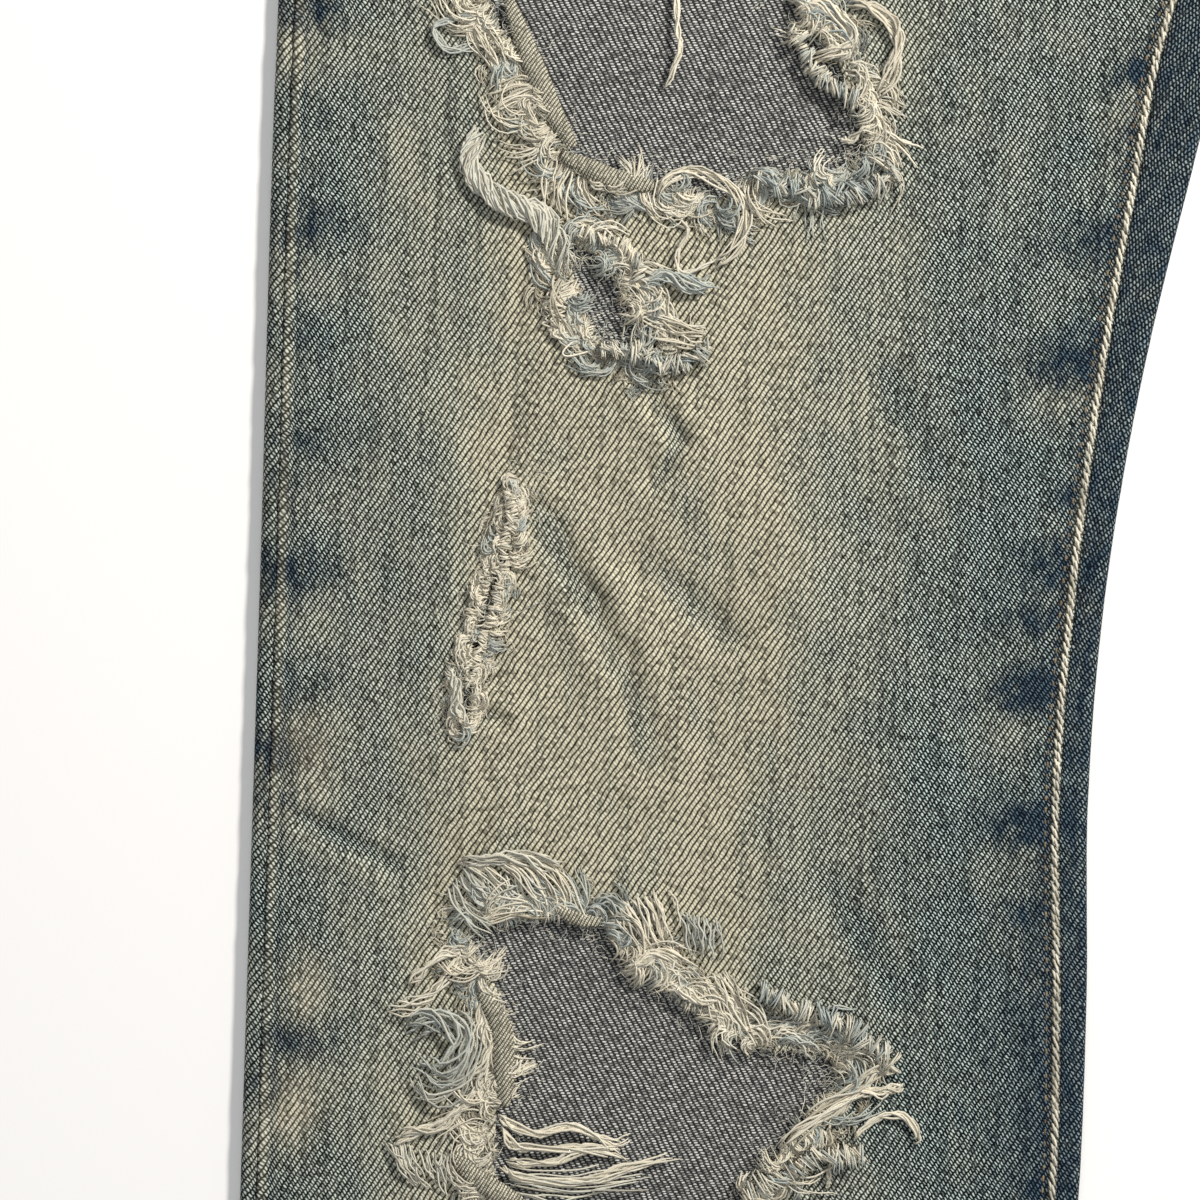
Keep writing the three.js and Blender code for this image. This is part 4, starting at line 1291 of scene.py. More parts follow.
def ridge_floats(word):
    """Slanted floats, rubbed pale, that make the felled inseam look like a twisted cord."""
    side = -1 if word == "right" else 1
    rng = np.random.default_rng(140)
    paths, tones, shades = [], [], []
    for row in (0, 1):
        ys = np.arange(HEM_Y + 3, CROTCH_END_Y - 8, RIDGE_PITCH) + 0.5 * RIDGE_PITCH * row
        ys = ys + rng.normal(0, 0.22, len(ys))
        t = np.linspace(-0.5, 0.5, 4)
        away = 0.70 + 0.75 * row + 0.95 * t[None, :] + rng.normal(0, 0.08, (len(ys), 1))
        y = ys[:, None] + 3.1 * t
        x = side * (front_inner_x(y) + away)
        flat = np.c_[x.ravel(), y.ravel()]
        z = front_line(flat, word)[:, 2].reshape(x.shape) + np.array((-0.16, 0.10, 0.10, -0.16))
        paths.append(np.stack([x, y, z], -1))
        worn = 0.88 + 0.2 * ripple(0.2 * ys, ys, 24.0, 43)
        shades.append(np.clip(worn - 0.15 * row + rng.normal(0, 0.16, len(ys)), 0.0, 1))
        tones.append(np.clip(0.22 + 0.5 * (0.8 - worn) + rng.normal(0, 0.07, len(ys)), 0, 1))
    paths = np.vstack(paths)
    radii = np.tile((0.22, 0.38, 0.38, 0.22), (len(paths), 1))
    values = {"tone": np.concatenate(tones), "shade": np.concatenate(shades)}
    return tubes(f"{word}_seam_ridges", paths, radii, values, (yarn_material_once(),))


UP = (0, 0, 1)
DOWN = (0, 0, -1)


def leg_stitches(word):
    side = -1 if word == "right" else 1
    groups = []
    ys = np.arange(HEM_Y + 18, CROTCH_END_Y - 8, 4.0)
    inseam = np.c_[side * (front_inner_x(ys) + 3.4), ys]
    groups.append(stitch_paths(front_line(inseam, word, -0.22), UP, seed=81))
    hem_y = HEM_Y + HEM_TURN - 2.5
    xs = np.linspace(front_inner_x(hem_y) + 1, front_outer_x(hem_y) - 1, 60)
    groups.append(stitch_paths(front_line(np.c_[side * xs, np.full(60, hem_y)], word), UP, seed=82))
    cloth = bpy.context.scene.jeans_sizes.cloth / MM
    under = np.linspace(inner_fold(hem_y) + 3, outer_fold(hem_y) - 3, 60)
    groups.append(stitch_paths(np.c_[side * under, np.full(60, hem_y), np.zeros(60)], DOWN, seed=83))
    for inset in (1.6, 7.4):
        mouth = mouth_curve(0) - (inset * 0.8, inset * 0.75)
        keep = mouth[:, 0] < front_outer_x(mouth[:, 1]) - 1
        groups.append(stitch_paths(front_line(mouth[keep] * (side, 1), word), UP, seed=84))
    ys = np.arange(100, SIDE_WAIST_Y - 3, 4.0)
    outseam = np.c_[side * (front_outer_x(ys) - 1.6), ys]
    groups.append(stitch_paths(front_line(outseam, word), UP, seed=85))
    return groups


def fly_stitches():
    """The curved double row of the fly, on the wearer's left of the centre."""
    groups = []
    for inset in (0.0, 6.0):
        bend = open_curve((
            (39 - inset, 204), (38 - inset, 120), (36 - inset, 92), (27 - inset * 0.7, 66 + inset),
            (10, 50 + inset), (3, 45 + inset)), 60)
        groups.append(stitch_paths(front_line(bend, "left"), UP, seed=86))
    edge = np.c_[np.full(40, 2.2), np.linspace(44, 203, 40)]
    groups.append(stitch_paths(front_line(edge, "left"), UP, seed=87))
    rise = np.c_[np.full(14, 2.2), np.linspace(-1, 42, 14)]
    groups.append(stitch_paths(front_line(rise, "left"), UP, seed=88))
    return groups


def seat_stitches(word):
    side = -1 if word == "right" else 1
    groups = []
    for inset in (1.6, 7.6):
        corners = inset_corners(SEAT_POCKET, inset)
        for a, b in zip(corners[:4], corners[1:]):
            line = np.linspace(a, b, 40)
            groups.append(stitch_paths(np.c_[line * (side, 1), np.zeros(40)], DOWN, seed=91))
    mouth = np.linspace(np.array(SEAT_POCKET[3]) + (-2, -14), np.array(SEAT_POCKET[4]) + (2, -14), 40)
    groups.append(stitch_paths(np.c_[mouth * (side, 1), np.zeros(40)], DOWN, seed=92))
    xs = np.linspace(3, 236, 90)
    for above in (1.8, 7.4):
        line = np.c_[side * xs, yoke_seam_y(xs) + GAP + above]
        line = line[xs < outer_fold(line[:, 1]) - 4]
        groups.append(stitch_paths(back_line(line), DOWN, seed=93))
    ys = np.linspace(2, 152, 50)
    reach = 1.9 if word == "right" else 7.6
    groups.append(stitch_paths(back_line(np.c_[np.full(50, side * reach), ys]), DOWN, seed=94))
    return groups


def band_stitches():
    """Rows along both edges of the waistband, all round it."""
    back_z, front_z, over_z = band_levels()
    top = BAND_CLOTH / 2
    groups = []
    for rise in (2.6, BAND_WIDTH - 2.4):
        narrowing = 1 + (float(outer_fold(SIDE_WAIST_Y + BAND_WIDTH)) / WAIST_HALF - 1) * rise / BAND_WIDTH
        for low, high, z in ((-222, -21, front_z), (64, 222, front_z)):
            xs = np.linspace(low, high, 90)
            bend = 1 + (narrowing - 1) * (xs / WAIST_HALF) ** 2
            line = np.c_[xs * bend, front_waist_y(xs) + rise, np.full(90, z + top - 0.1)]
            groups.append(stitch_paths(line, UP, seed=95))
        xs = np.linspace(-18, 62, 60)
        z = over_z - (over_z - front_z) * smoothstep(xs, 38, 62)
        groups.append(stitch_paths(np.c_[xs, front_waist_y(xs) + rise, z + top - 0.1], UP, seed=96))
        xs = np.linspace(-222, 222, 160)
        bend = 1 + (narrowing - 1) * (xs / WAIST_HALF) ** 2
        line = np.c_[xs * bend, back_waist_y(xs) + rise, np.full(160, back_z - top + 0.1)]
        groups.append(stitch_paths(line, DOWN, seed=97))
    rises = np.linspace(2, BAND_WIDTH - 2, 14)
    end = np.c_[np.full(14, -18.0), front_waist_y(-18.0) + rises, np.full(14, over_z + top - 0.1)]
    groups.append(stitch_paths(end, UP, seed=98))
    return groups


def loop_stitches(loops):
    """Two rows along each belt loop, and a bar tack across each end."""
    groups = []
    for x, seam_y, band_z, panel_z in loops:
        up = UP if band_z > LEG_HEIGHT else DOWN
        out = 0.55 * up[2]
        for across in (-3.6, 3.6):
            ys = np.linspace(seam_y - 11, seam_y + BAND_WIDTH - 1, 40)
            z = panel_z + (band_z - panel_z) * smoothstep(ys, seam_y - 6, seam_y - 1) + out
            groups.append(stitch_paths(np.c_[np.full(40, x + across), ys, z], up, seed=99))
        for y, z in ((seam_y - 8.5, panel_z), (seam_y + BAND_WIDTH - 3.5, band_z)):
            for k in range(9):
                line = np.array([(x - 5 + 0.35 * (k % 2), y + k * 0.42 - 1.6, z + out),
                                 (x + 5, y + k * 0.42 - 1.6, z + out)])
                groups.append(stitch_paths(line, up, pitch=9.8, length=9.2, seed=100))
    return groups


# ------------------------------------------------------------------ frayed edges


def in_a_rip(x, y):
    found = np.zeros(np.shape(x), bool)
    for corners in RIPS:
        found |= inside(x, y, corners)
    return found


def yarn_floor(x, y):
    """Height that a loose yarn lies at: on the cloth, or sagging a little over a hole."""
    flat_x, flat_y = np.ravel(x), np.ravel(y)
    cloth = bpy.context.scene.jeans_sizes.cloth / MM
    top = front_height(flat_x, flat_y, "right", cloth) + cloth / 2
    away = rip_distance(flat_x, flat_y)
    over_hole = in_a_rip(flat_x, flat_y)
    sag = np.maximum(top - 0.22 * away, 2.2)
    return np.where(over_hole, sag, top).reshape(np.shape(x))


def curl_paths(starts, headings, lengths, turns, lifts, wiggle, rng, steps=10):
    """Loose yarns lying on the cloth: each leaves its start along its heading and bends round."""
    u = np.linspace(0, 1, steps)
    count = len(starts)
    phase = rng.uniform(0, 2 * np.pi, (count, 3))
    waves = sum(np.sin(2 * np.pi * (k + 1.3) * u + phase[:, k:k + 1]) / (k + 1) for k in range(3))
    angle = headings[:, None] + turns[:, None] * smoothstep(u, 0.02, 0.85) + wiggle * waves
    stride = (lengths / (steps - 1))[:, None]
    x = starts[:, :1] + np.cumsum(np.cos(angle) * stride, axis=1)
    y = starts[:, 1:2] + np.cumsum(np.sin(angle) * stride, axis=1)
    x[:, 0], y[:, 0] = starts.T
    arch = np.sin(np.pi * np.minimum(u * 1.05, 1)) ** 0.7
    z = yarn_floor(x, y) + lifts[:, None] * arch + 0.12
    z[:, 0] -= 0.6
    z[:, -1] += rng.uniform(-0.1, 0.9, count)
    return np.stack([x, y, z], -1)


def edge_places(curve, pitch, rng):
    """Uneven steps round the edge of a rip, each with the direction away from the hole."""
    ahead = np.roll(curve, -1, 0) - curve
    gaps = np.linalg.norm(ahead, axis=1)
    run = np.concatenate([[0], np.cumsum(gaps)])
    count = int(run[-1] / pitch)
    at = (np.arange(count) + rng.uniform(0, 0.9, count)) / count * run[-1]
    pick = np.minimum(np.searchsorted(run, at, side="right") - 1, len(curve) - 1)
    along = ahead[pick] / gaps[pick][:, None]
    area = np.sum(curve[:, 0] * np.roll(curve[:, 1], -1) - np.roll(curve[:, 0], -1) * curve[:, 1])
    outward = np.c_[along[:, 1], -along[:, 0]] * np.sign(area)
    return curve[pick] + along * (at - run[pick])[:, None], outward


def edge_tufts(curve, seed, pitch, each, reach, width, out, lift, light, steps=9):
    """Tufts along an edge: the yarns of each lie outwards and bend round together.

    Weft tufts are cream and warp tufts blue; out is how far outside the edge they may start.
    """
    rng = np.random.default_rng(seed)
    roots, outward = edge_places(curve, pitch, rng)
    tufts = len(roots)
    x, y = roots.T
    droop = np.arctan2(outward[:, 1] - 0.3, outward[:, 0])
    heading = droop + 0.8 * ripple(x, y, 15.0, seed + 1) + rng.normal(0, 0.3, tufts)
    way = np.where(ripple(x, y, 19.0, seed + 2) > 0, 1.0, -1.0)
    weft = 0.5 * np.abs(outward[:, 0]) + 0.5 * ripple(x, y, 12.0, seed + 3) + rng.normal(0, 0.2, tufts)
    of_tuft = np.c_[
        heading, way * rng.uniform(0.9, 3.0, tufts), reach * rng.uniform(0.6, 1.3, tufts),
        lift * rng.uniform(0.5, 1.5, tufts), np.where(weft > 0.12, 0.08, 0.72), rng.uniform(*out, tufts),
        rng.normal(0, 0.10, tufts)]
    roots, outward, of_tuft = (np.repeat(values, each, 0) for values in (roots, outward, of_tuft))
    heading, turn, length, lift, tone, start, dimmer = of_tuft.T
    count = len(roots)
    along = np.c_[-outward[:, 1], outward[:, 0]]
    start = start + rng.normal(0, 0.5, count)
    starts = roots + along * rng.normal(0, 0.75, (count, 1)) + outward * start[:, None]
    paths = curl_paths(
        starts, heading + rng.normal(0, 0.14, count), length * rng.uniform(0.7, 1.15, count),
        turn * rng.uniform(0.8, 1.2, count), lift * rng.uniform(0.5, 1.2, count), 0.16, rng, steps)
    tone = np.clip(tone + rng.normal(0, 0.13, count), 0, 1)
    shade = np.clip(light + dimmer + rng.normal(0, 0.15, count), 0.05, 1)
    return paths, width * rng.uniform(0.75, 1.25, count), tone, shade


def fine_fibres(curve, seed, density):
    """Thin teased fibres round an edge."""
    rng = np.random.default_rng(seed)
    count = int(len(curve) * density)
    starts = curve[rng.integers(0, len(curve), count)] + rng.normal(0, 2.8, (count, 2))
    heading = rng.uniform(-np.pi, np.pi, count)
    turn = rng.normal(0, 2.6, count)
    paths = curl_paths(starts, heading, rng.uniform(3, 7, count), turn, rng.gamma(2, 0.6, count), 0.5, rng, 6)
    tone = np.clip(rng.normal(0.45, 0.3, count), 0, 1)
    return paths, rng.uniform(0.05, 0.10, count), tone, np.clip(rng.normal(0.85, 0.12, count), 0, 1)


def along_route(route, begin, end, steps):
    """Places along a smooth route, the unit direction across it, and the run so far."""
    base = open_curve(route, 80)
    at = (begin[:, None] + (end - begin)[:, None] * np.linspace(0, 1, steps)) * 79
    x = np.interp(at, np.arange(80), base[:, 0])
    y = np.interp(at, np.arange(80), base[:, 1])
    dx, dy = np.gradient(x, axis=1), np.gradient(y, axis=1)
    size = np.maximum(np.hypot(dx, dy), 1e-6)
    return x, y, -dy / size, dx / size, np.cumsum(size, axis=1)


def yarn_group(x, y, z, tone, rng, thick=1.0):
    count = len(x)
    width = bpy.context.scene.jeans_sizes.yarn / MM * thick * rng.uniform(0.7, 1.1, count)
    tones = np.clip(tone + rng.normal(0, 0.10, count), 0, 1)
    return np.stack([x, y, z], -1), width, tones, np.clip(rng.normal(0.84, 0.18, count), 0.2, 1)


def bundle(route, count, spread, tone, rng, turns=0.8, lift=0.7, steps=16):
    """Loose yarns that keep together along a route and wind slowly round one another."""
    begin, end = rng.uniform(0, 0.12, count), 1 - rng.uniform(0, 0.22, count)
    x, y, nx, ny, _ = along_route(route, begin, end, steps)
    u = np.linspace(0, 1, steps)
    reach = spread * np.sqrt(rng.uniform(0.1, 1, count))[:, None] * (0.75 + 0.5 * u)
    wind = 2 * np.pi * (rng.uniform(0, 1, count)[:, None] + turns * u)
    across = reach * np.cos(wind) + 0.35 * spread * np.sin(2 * np.pi * (1.7 * u + wind[:, :1]))
    across = across + 0.35 * np.sin(2 * np.pi * rng.uniform(2, 4, count)[:, None] * u + 5 * wind[:, :1])
    x, y = x + nx * across, y + ny * across
    z = yarn_floor(x, y) + 0.9 + 0.4 * reach * (1 + np.sin(wind)) + lift * np.sin(np.pi * u)
    return [yarn_group(x, y, z, tone, rng)]


def hank(route, count, spread, tone, rng):
    """A bundle wound into a loose rope."""
    return bundle(route, count, spread, tone, rng, 2.2)


def roll(route, breadth, tone, rng):
    """A curled edge: clumps of short yarns that wrap over a core of blue yarn, painted dark as the shade
    inside the roll.
    """
    base = open_curve(route, 80)
    length = np.linalg.norm(np.diff(base, axis=0), axis=1).sum()
    clumps = max(4, int(length / 0.8))
    each = 5
    of_clump = np.c_[
        (np.arange(clumps) + rng.uniform(0, 1, clumps)) / clumps, rng.normal(0.2, 0.5, clumps),
        rng.normal(-50, 20, clumps), rng.normal(230, 35, clumps), rng.uniform(0.6, 1.2, clumps),
        rng.normal(0, 0.12 * breadth, clumps), tone + rng.choice((-0.5, -0.2, 0.1), clumps)]
    place, lean, first, sweep, size, shift, mixed = np.repeat(of_clump, each, 0).T
    count = len(place)
    place = np.clip(place + rng.normal(0, 0.55, count) / length, 0.002, 0.998)
    x, y, nx, ny, _ = along_route(route, place - 0.001, place + 0.001, 2)
    x, y, nx, ny = (values[:, :1] for values in (x, y, nx, ny))
    lean = (lean + rng.normal(0, 0.12, count))[:, None]
    nx, ny = nx * np.cos(lean) - ny * np.sin(lean), nx * np.sin(lean) + ny * np.cos(lean)
    first = first + rng.normal(0, 9, count)
    sweep = sweep + rng.normal(0, 14, count)
    arc = np.radians(first[:, None] + sweep[:, None] * np.linspace(0, 1, 7))
    ring = breadth / 2 * (size + rng.normal(0, 0.07, count))[:, None]
    slant = rng.normal(0.3, 0.3, (count, 1)) * np.linspace(-1, 1, 7)
    aside = ring * np.cos(arc) + shift[:, None]
    curl_x, curl_y = x + nx * aside + ny * slant, y + ny * aside - nx * slant
    z = yarn_floor(x, y) + 0.7 * ring + 0.7 * ring * np.sin(arc) + rng.uniform(0, 0.4, (count, 1))
    curls = yarn_group(curl_x, curl_y, z, mixed + rng.normal(0, 0.15, count), rng, 0.66)
    # The core is the rolled cloth under the curls; its low shade is painted shade inside the roll.
    x, y, _, _, _ = along_route(route, np.full(1, 0.06), np.full(1, 0.94), 16)
    core = (np.stack([x, y, yarn_floor(x, y) + 0.16 * breadth], -1), np.array([0.20 * breadth]),
            np.array([1.0]), np.array([0.15]))
    return [curls, core]


def comb(base, tip, count, bulge, tone, rng, steps=16):
    """Yarns side by side from a base line to a tip line, each bowed aside and lifted."""
    share = np.sort(rng.uniform(0, 1, count))[:, None]
    start = np.array(base[0], float) + np.subtract(base[1], base[0]) * share
    start = start + rng.normal(0, 0.5, (count, 2))
    finish = np.array(tip[0], float) + np.subtract(tip[1], tip[0]) * share + rng.normal(0, 1.0, (count, 2))
    u = np.linspace(0, 1, steps)
    reach = (finish - start) * rng.uniform(0.6, 1.15, (count, 1))
    size = np.linalg.norm(reach, axis=1)[:, None]
    bow = (bulge + rng.normal(0, 0.5, count)[:, None]) * np.sin(np.pi * u)
    waves = rng.uniform(1, 2, count)[:, None] * u + rng.uniform(0, 1, (count, 1))
    bow = bow + 0.35 * np.sin(2 * np.pi * waves)
    x = start[:, :1] + reach[:, :1] * u - reach[:, 1:] / size * bow
    y = start[:, 1:] + reach[:, 1:] * u + reach[:, :1] / size * bow
    z = yarn_floor(x, y) + 0.8 + rng.uniform(0.3, 1.8, count)[:, None] * np.sin(np.pi * u)
    return [yarn_group(x, y, z, tone, rng, 0.85)]


# The main strands of each rip, one by one: the way each is made, its routes, then its
# count or size, spread or bow, and tone, from cream at 0 to blue at 1.
UPPER_STRANDS = (
    # a bundle hangs over the hole from above
    (bundle, ((-206, -134), (-206, -146), (-205, -152), (-207, -158), (-210, -164)), 6, 0.5, 0.02),
    # the top left corner: a loop, then combs of weft across the edge
    (bundle, ((-254, -146), (-262, -144), (-269, -147), (-266, -152), (-258, -152)), 7, 0.9, 0.7),
    (comb, ((-262, -145), (-254, -145)), ((-253, -161), (-247, -159)), 12, -0.6, 0.05),
    (comb, ((-243, -159), (-240, -166)), ((-255, -163), (-254, -172)), 16, -0.9, 0.08),
    # the twisted edge down to the small hole
    (hank, ((-257, -173), (-260, -181), (-256, -189), (-249, -193), (-242, -196), (-237, -203),
            (-235, -212)), 54, 2.6, 0.36),
    (comb, ((-240, -179), (-233, -183)), ((-242, -193), (-236, -198)), 12, -0.8, 0.05),
    (comb, ((-234, -195), (-233, -202)), ((-227, -196), (-227, -201)), 9, -0.9, 0.03),
    # the small hole: arcs out to its left, waves and blue fluff at its right, a roll below
    (comb, ((-233, -212), (-230, -226)), ((-232, -217), (-229, -231)), 20, -8.5, 0.03),
    (comb, ((-199, -224), (-198, -230)), ((-218, -217), (-213, -226)), 12, 1.4, 0.05),
    (bundle, ((-216, -214), (-210, -212), (-203, -214), (-195, -213)), 14, 1.9, 0.75),
    (roll, ((-231, -200), (-225, -202), (-218, -206), (-215, -212)), 3.8, 0.3),
    (roll, ((-226, -231), (-219, -231), (-212, -234), (-203, -234), (-198, -230)), 5.0, 0.65),
    # long loops hang over the lower edge, and the edge curls to the right of them
    (bundle, ((-212, -193), (-209, -187), (-202, -184), (-194, -187), (-189, -193), (-189, -200),
              (-193, -207), (-200, -210)), 9, 1.5, 0.04),
    (bundle, ((-205, -196), (-203, -200), (-206, -206), (-205, -211), (-199, -209), (-192, -205)),
     3, 0.4, 0.03),
    (roll, ((-185, -187), (-177, -189), (-169, -191), (-161, -191), (-153, -188), (-150, -183)), 5.6, 0.75),
    # the right side: two big loops, a rolled edge and cream curls
    (bundle, ((-175, -144), (-171, -141), (-167, -141), (-162, -146), (-160, -150), (-163, -153),
              (-170, -155), (-174, -156)), 12, 1.2, 0.03),
    (bundle, ((-162, -141), (-156, -141), (-151, -145), (-149, -149), (-149, -155), (-151, -161),
              (-154, -165)), 16, 1.5, 0.05),
    (roll, ((-176, -147), (-172, -154), (-169, -160), (-163, -164), (-159, -167)), 4.4, 0.6),
    (bundle, ((-163, -175), (-161, -176), (-157, -174), (-153, -172)), 7, 0.9, 0.04),
    (bundle, ((-154, -164), (-153, -172), (-148, -176), (-139, -180)), 2, 0.25, 0.02),
    # the upper edge, past the bend of the thigh
    (roll, ((-252, -132), (-249, -120), (-238, -112), (-226, -108)), 4.6, 0.6),
    (roll, ((-226, -108), (-212, -107), (-198, -112), (-186, -121), (-177, -134)), 4.6, 0.6),
    (comb, ((-236, -108), (-206, -106)), ((-232, -122), (-204, -121)), 14, 0.8, 0.05),
)

SLIT_STRANDS = (
    (roll, ((-250, -268), (-249, -274), (-251, -280), (-251, -288), (-253, -296), (-255, -303)), 2.8, 0.05),
    (bundle, ((-252, -264), (-248, -266), (-250, -270)), 7, 0.7, 0.5),
    (roll, ((-256, -304), (-258, -311), (-260, -318)), 2.6, 0.1),
    (bundle, ((-266, -314), (-263, -318), (-263, -324), (-261, -330)), 10, 1.3, 0.35),
)

LOWER_STRANDS = (
    # the top left corner: sweeps to the right over a dark gap
    (bundle, ((-262, -365), (-254, -363), (-246, -363), (-235, -366)), 14, 1.7, 0.3),
    (comb, ((-259, -373), (-255, -382)), ((-244, -375), (-239, -378)), 18, 1.8, 0.05),
    (comb, ((-263, -365), (-238, -363)), ((-252, -378), (-229, -379)), 32, 2.6, 0.1),
    (comb, ((-262, -369), (-242, -366)), ((-256, -376), (-232, -374)), 26, -2.0, 0.6),
    (comb, ((-266, -372), (-258, -364)), ((-258, -384), (-244, -372)), 24, -1.6, 0.45),
    # parallel weft down the upper edge, and a blue roll after it
    (comb, ((-225, -376), (-208, -372)), ((-215, -389), (-206, -388)), 30, 0.9, 0.05),
    (comb, ((-206, -377), (-195, -380)), ((-203, -389), (-195, -388)), 20, 0.7, 0.65),
    (bundle, ((-220, -394), (-215, -390), (-209, -388), (-200, -393)), 14, 1.3, 0.03),
    (bundle, ((-209, -397), (-204, -398), (-200, -400), (-194, -400), (-191, -403)), 9, 1.2, 0.08),
    (comb, ((-203, -396), (-193, -393)), ((-196, -408), (-185, -410)), 20, 0.9, 0.08),
    (roll, ((-184, -398), (-176, -402), (-166, -405), (-157, -411), (-150, -416)), 6.0, 0.7),
    # the right end: tan bundles pulled down and left
    (bundle, ((-148, -417), (-154, -418), (-160, -424), (-169, -430), (-179, -440)), 16, 2.0, 0.04),
    (bundle, ((-147, -422), (-152, -424), (-160, -425), (-170, -432)), 9, 1.3, 0.05),
    (bundle, ((-166, -430), (-166, -441), (-167, -452)), 2, 0.2, 0.02),
    (bundle, ((-159, -437), (-157, -433), (-152, -430), (-146, -431), (-143, -436), (-145, -438)),
     8, 0.9, 0.03),
    (roll, ((-188, -452), (-178, -446), (-168, -441), (-158, -440)), 6.0, 0.5),
    # the left side: sweeps out over the leg, then a curly blue patch
    (bundle, ((-261, -387), (-267, -388), (-273, -393), (-275, -397)), 9, 1.2, 0.1),
    (bundle, ((-261, -388), (-268, -396), (-274, -401), (-282, -404)), 10, 1.6, 0.1),
    (bundle, ((-257, -398), (-257, -406), (-255, -411), (-256, -417), (-262, -422)), 12, 1.4, 0.06),
    (bundle, ((-277, -409), (-269, -405), (-262, -411), (-267, -419), (-276, -416)), 16, 3.0, 0.62),
    (bundle, ((-267, -403), (-260, -409), (-261, -420), (-269, -425), (-275, -419)), 14, 2.6, 0.5),
    (bundle, ((-256, -421), (-262, -428), (-268, -433), (-276, -435), (-282, -438)), 12, 1.4, 0.08),
    (comb, ((-282, -437), (-266, -441)), ((-276, -446), (-263, -451)), 34, -0.6, 0.35),
    # long bundles across the lower end
    (bundle, ((-253, -430), (-249, -433), (-242, -435), (-234, -433), (-227, -436), (-222, -438),
              (-217, -436)), 8, 1.0, 0.02),
    (bundle, ((-252, -433), (-249, -438), (-243, -439), (-233, -439), (-223, -440), (-217, -443)),
     8, 1.0, 0.03),
    (bundle, ((-251, -442), (-245, -443), (-236, -442), (-229, -439), (-221, -439)), 7, 1.0, 0.03),
    (bundle, ((-252, -443), (-246, -447), (-234, -448), (-224, -446), (-215, -443), (-205, -441)),
     9, 1.1, 0.03),
    (comb, ((-250, -444), (-248, -453)), ((-219, -443), (-216, -456)), 18, -1.6, 0.3),
    # the lower edge, below the knee
    (roll, ((-254, -456), (-250, -468), (-242, -480), (-228, -487)), 4.6, 0.6),
    (roll, ((-228, -487), (-213, -487), (-200, -473), (-190, -459), (-181, -448)), 4.6, 0.6),
    (comb, ((-246, -484), (-214, -490)), ((-243, -470), (-214, -474)), 14, 0.8, 0.05),
)


# Narrow lips of cloth that stay turned up along the rips, as (route, breadth).
LIPS = (
    (((-250, -139), (-246, -150), (-242, -160), (-238, -169), (-233, -178)), 5.2),
    (((-236, -180), (-228, -184), (-220, -187), (-212, -188)), 5.0),
    (((-257, -398), (-252, -407), (-251, -417), (-251, -428)), 5.6),
    (((-264, -440), (-259, -446), (-253, -450), (-246, -454)), 5.2),
    (((-237, -377), (-232, -379), (-226, -380)), 3.4),
)


def turned_lip(name, route, breadth):
    """A strip of denim rolled half over along its route, its rubbed right side up."""
    steps = 40
    x, y, nx, ny, run = (values[0] for values in along_route(route, np.zeros(1), np.ones(1), steps))
    swell = np.sin(np.pi * np.linspace(0.06, 0.94, steps)) ** 0.5
    arc = np.radians(np.linspace(-25, 190, 9))
    ring = (breadth / 2 * swell)[:, None]
    aside = ring * np.cos(arc)
    sway = 0.35 * ripple(x, y, 7.0, 3)[:, None] * np.cos(arc)
    lift = yarn_floor(x, y)[:, None] + 1.0 + sway + 0.6 * ring * np.sin(arc)
    grid = np.stack([x[:, None] + nx[:, None] * aside, y[:, None] + ny[:, None] * aside, lift], -1)
    weave = 1.6 * np.stack([grid[..., 0], grid[..., 1]], -1)
    level = np.ones((steps, len(arc)))
    shades = {"fade_and_shade": 0.8 * level, "navy_and_shade": 0 * level, "bare": 0.7 * level}
    return grid_wall(name, grid, weave, shades, 0.5)


def strand_yarns(strands, seed):
    """Every yarn of a list of strands, each strand with its own seeded variation."""
    made = []
    for number, (way, *sizes) in enumerate(strands):
        made += way(*sizes, np.random.default_rng(seed + number))
    return made


def yarn_piece(name, bundles):
    groups = {}
    for paths, width, tone, shade in bundles:
        groups.setdefault(paths.shape[1], []).append((paths, width, tone, shade))
    pieces = []
    for steps, members in sorted(groups.items()):
        paths = np.vstack([m[0] for m in members])
        width, tone, shade = (np.concatenate([m[k] for m in members]) for k in (1, 2, 3))
        taper = np.ones(steps)
        taper[0], taper[-1], taper[-2] = 0.75, 0.5, 0.85
        radii = width[:, None] * taper
        pieces.append(tubes(f"{name}_{steps}", paths, radii, {"tone": tone, "shade": shade},
                            (yarn_material_once(),)))
    return pieces


YARN_LOOK = {}


def yarn_material_once():
    if "yarn" not in YARN_LOOK:
        YARN_LOOK["yarn"] = yarn_material()
    return YARN_LOOK["yarn"]


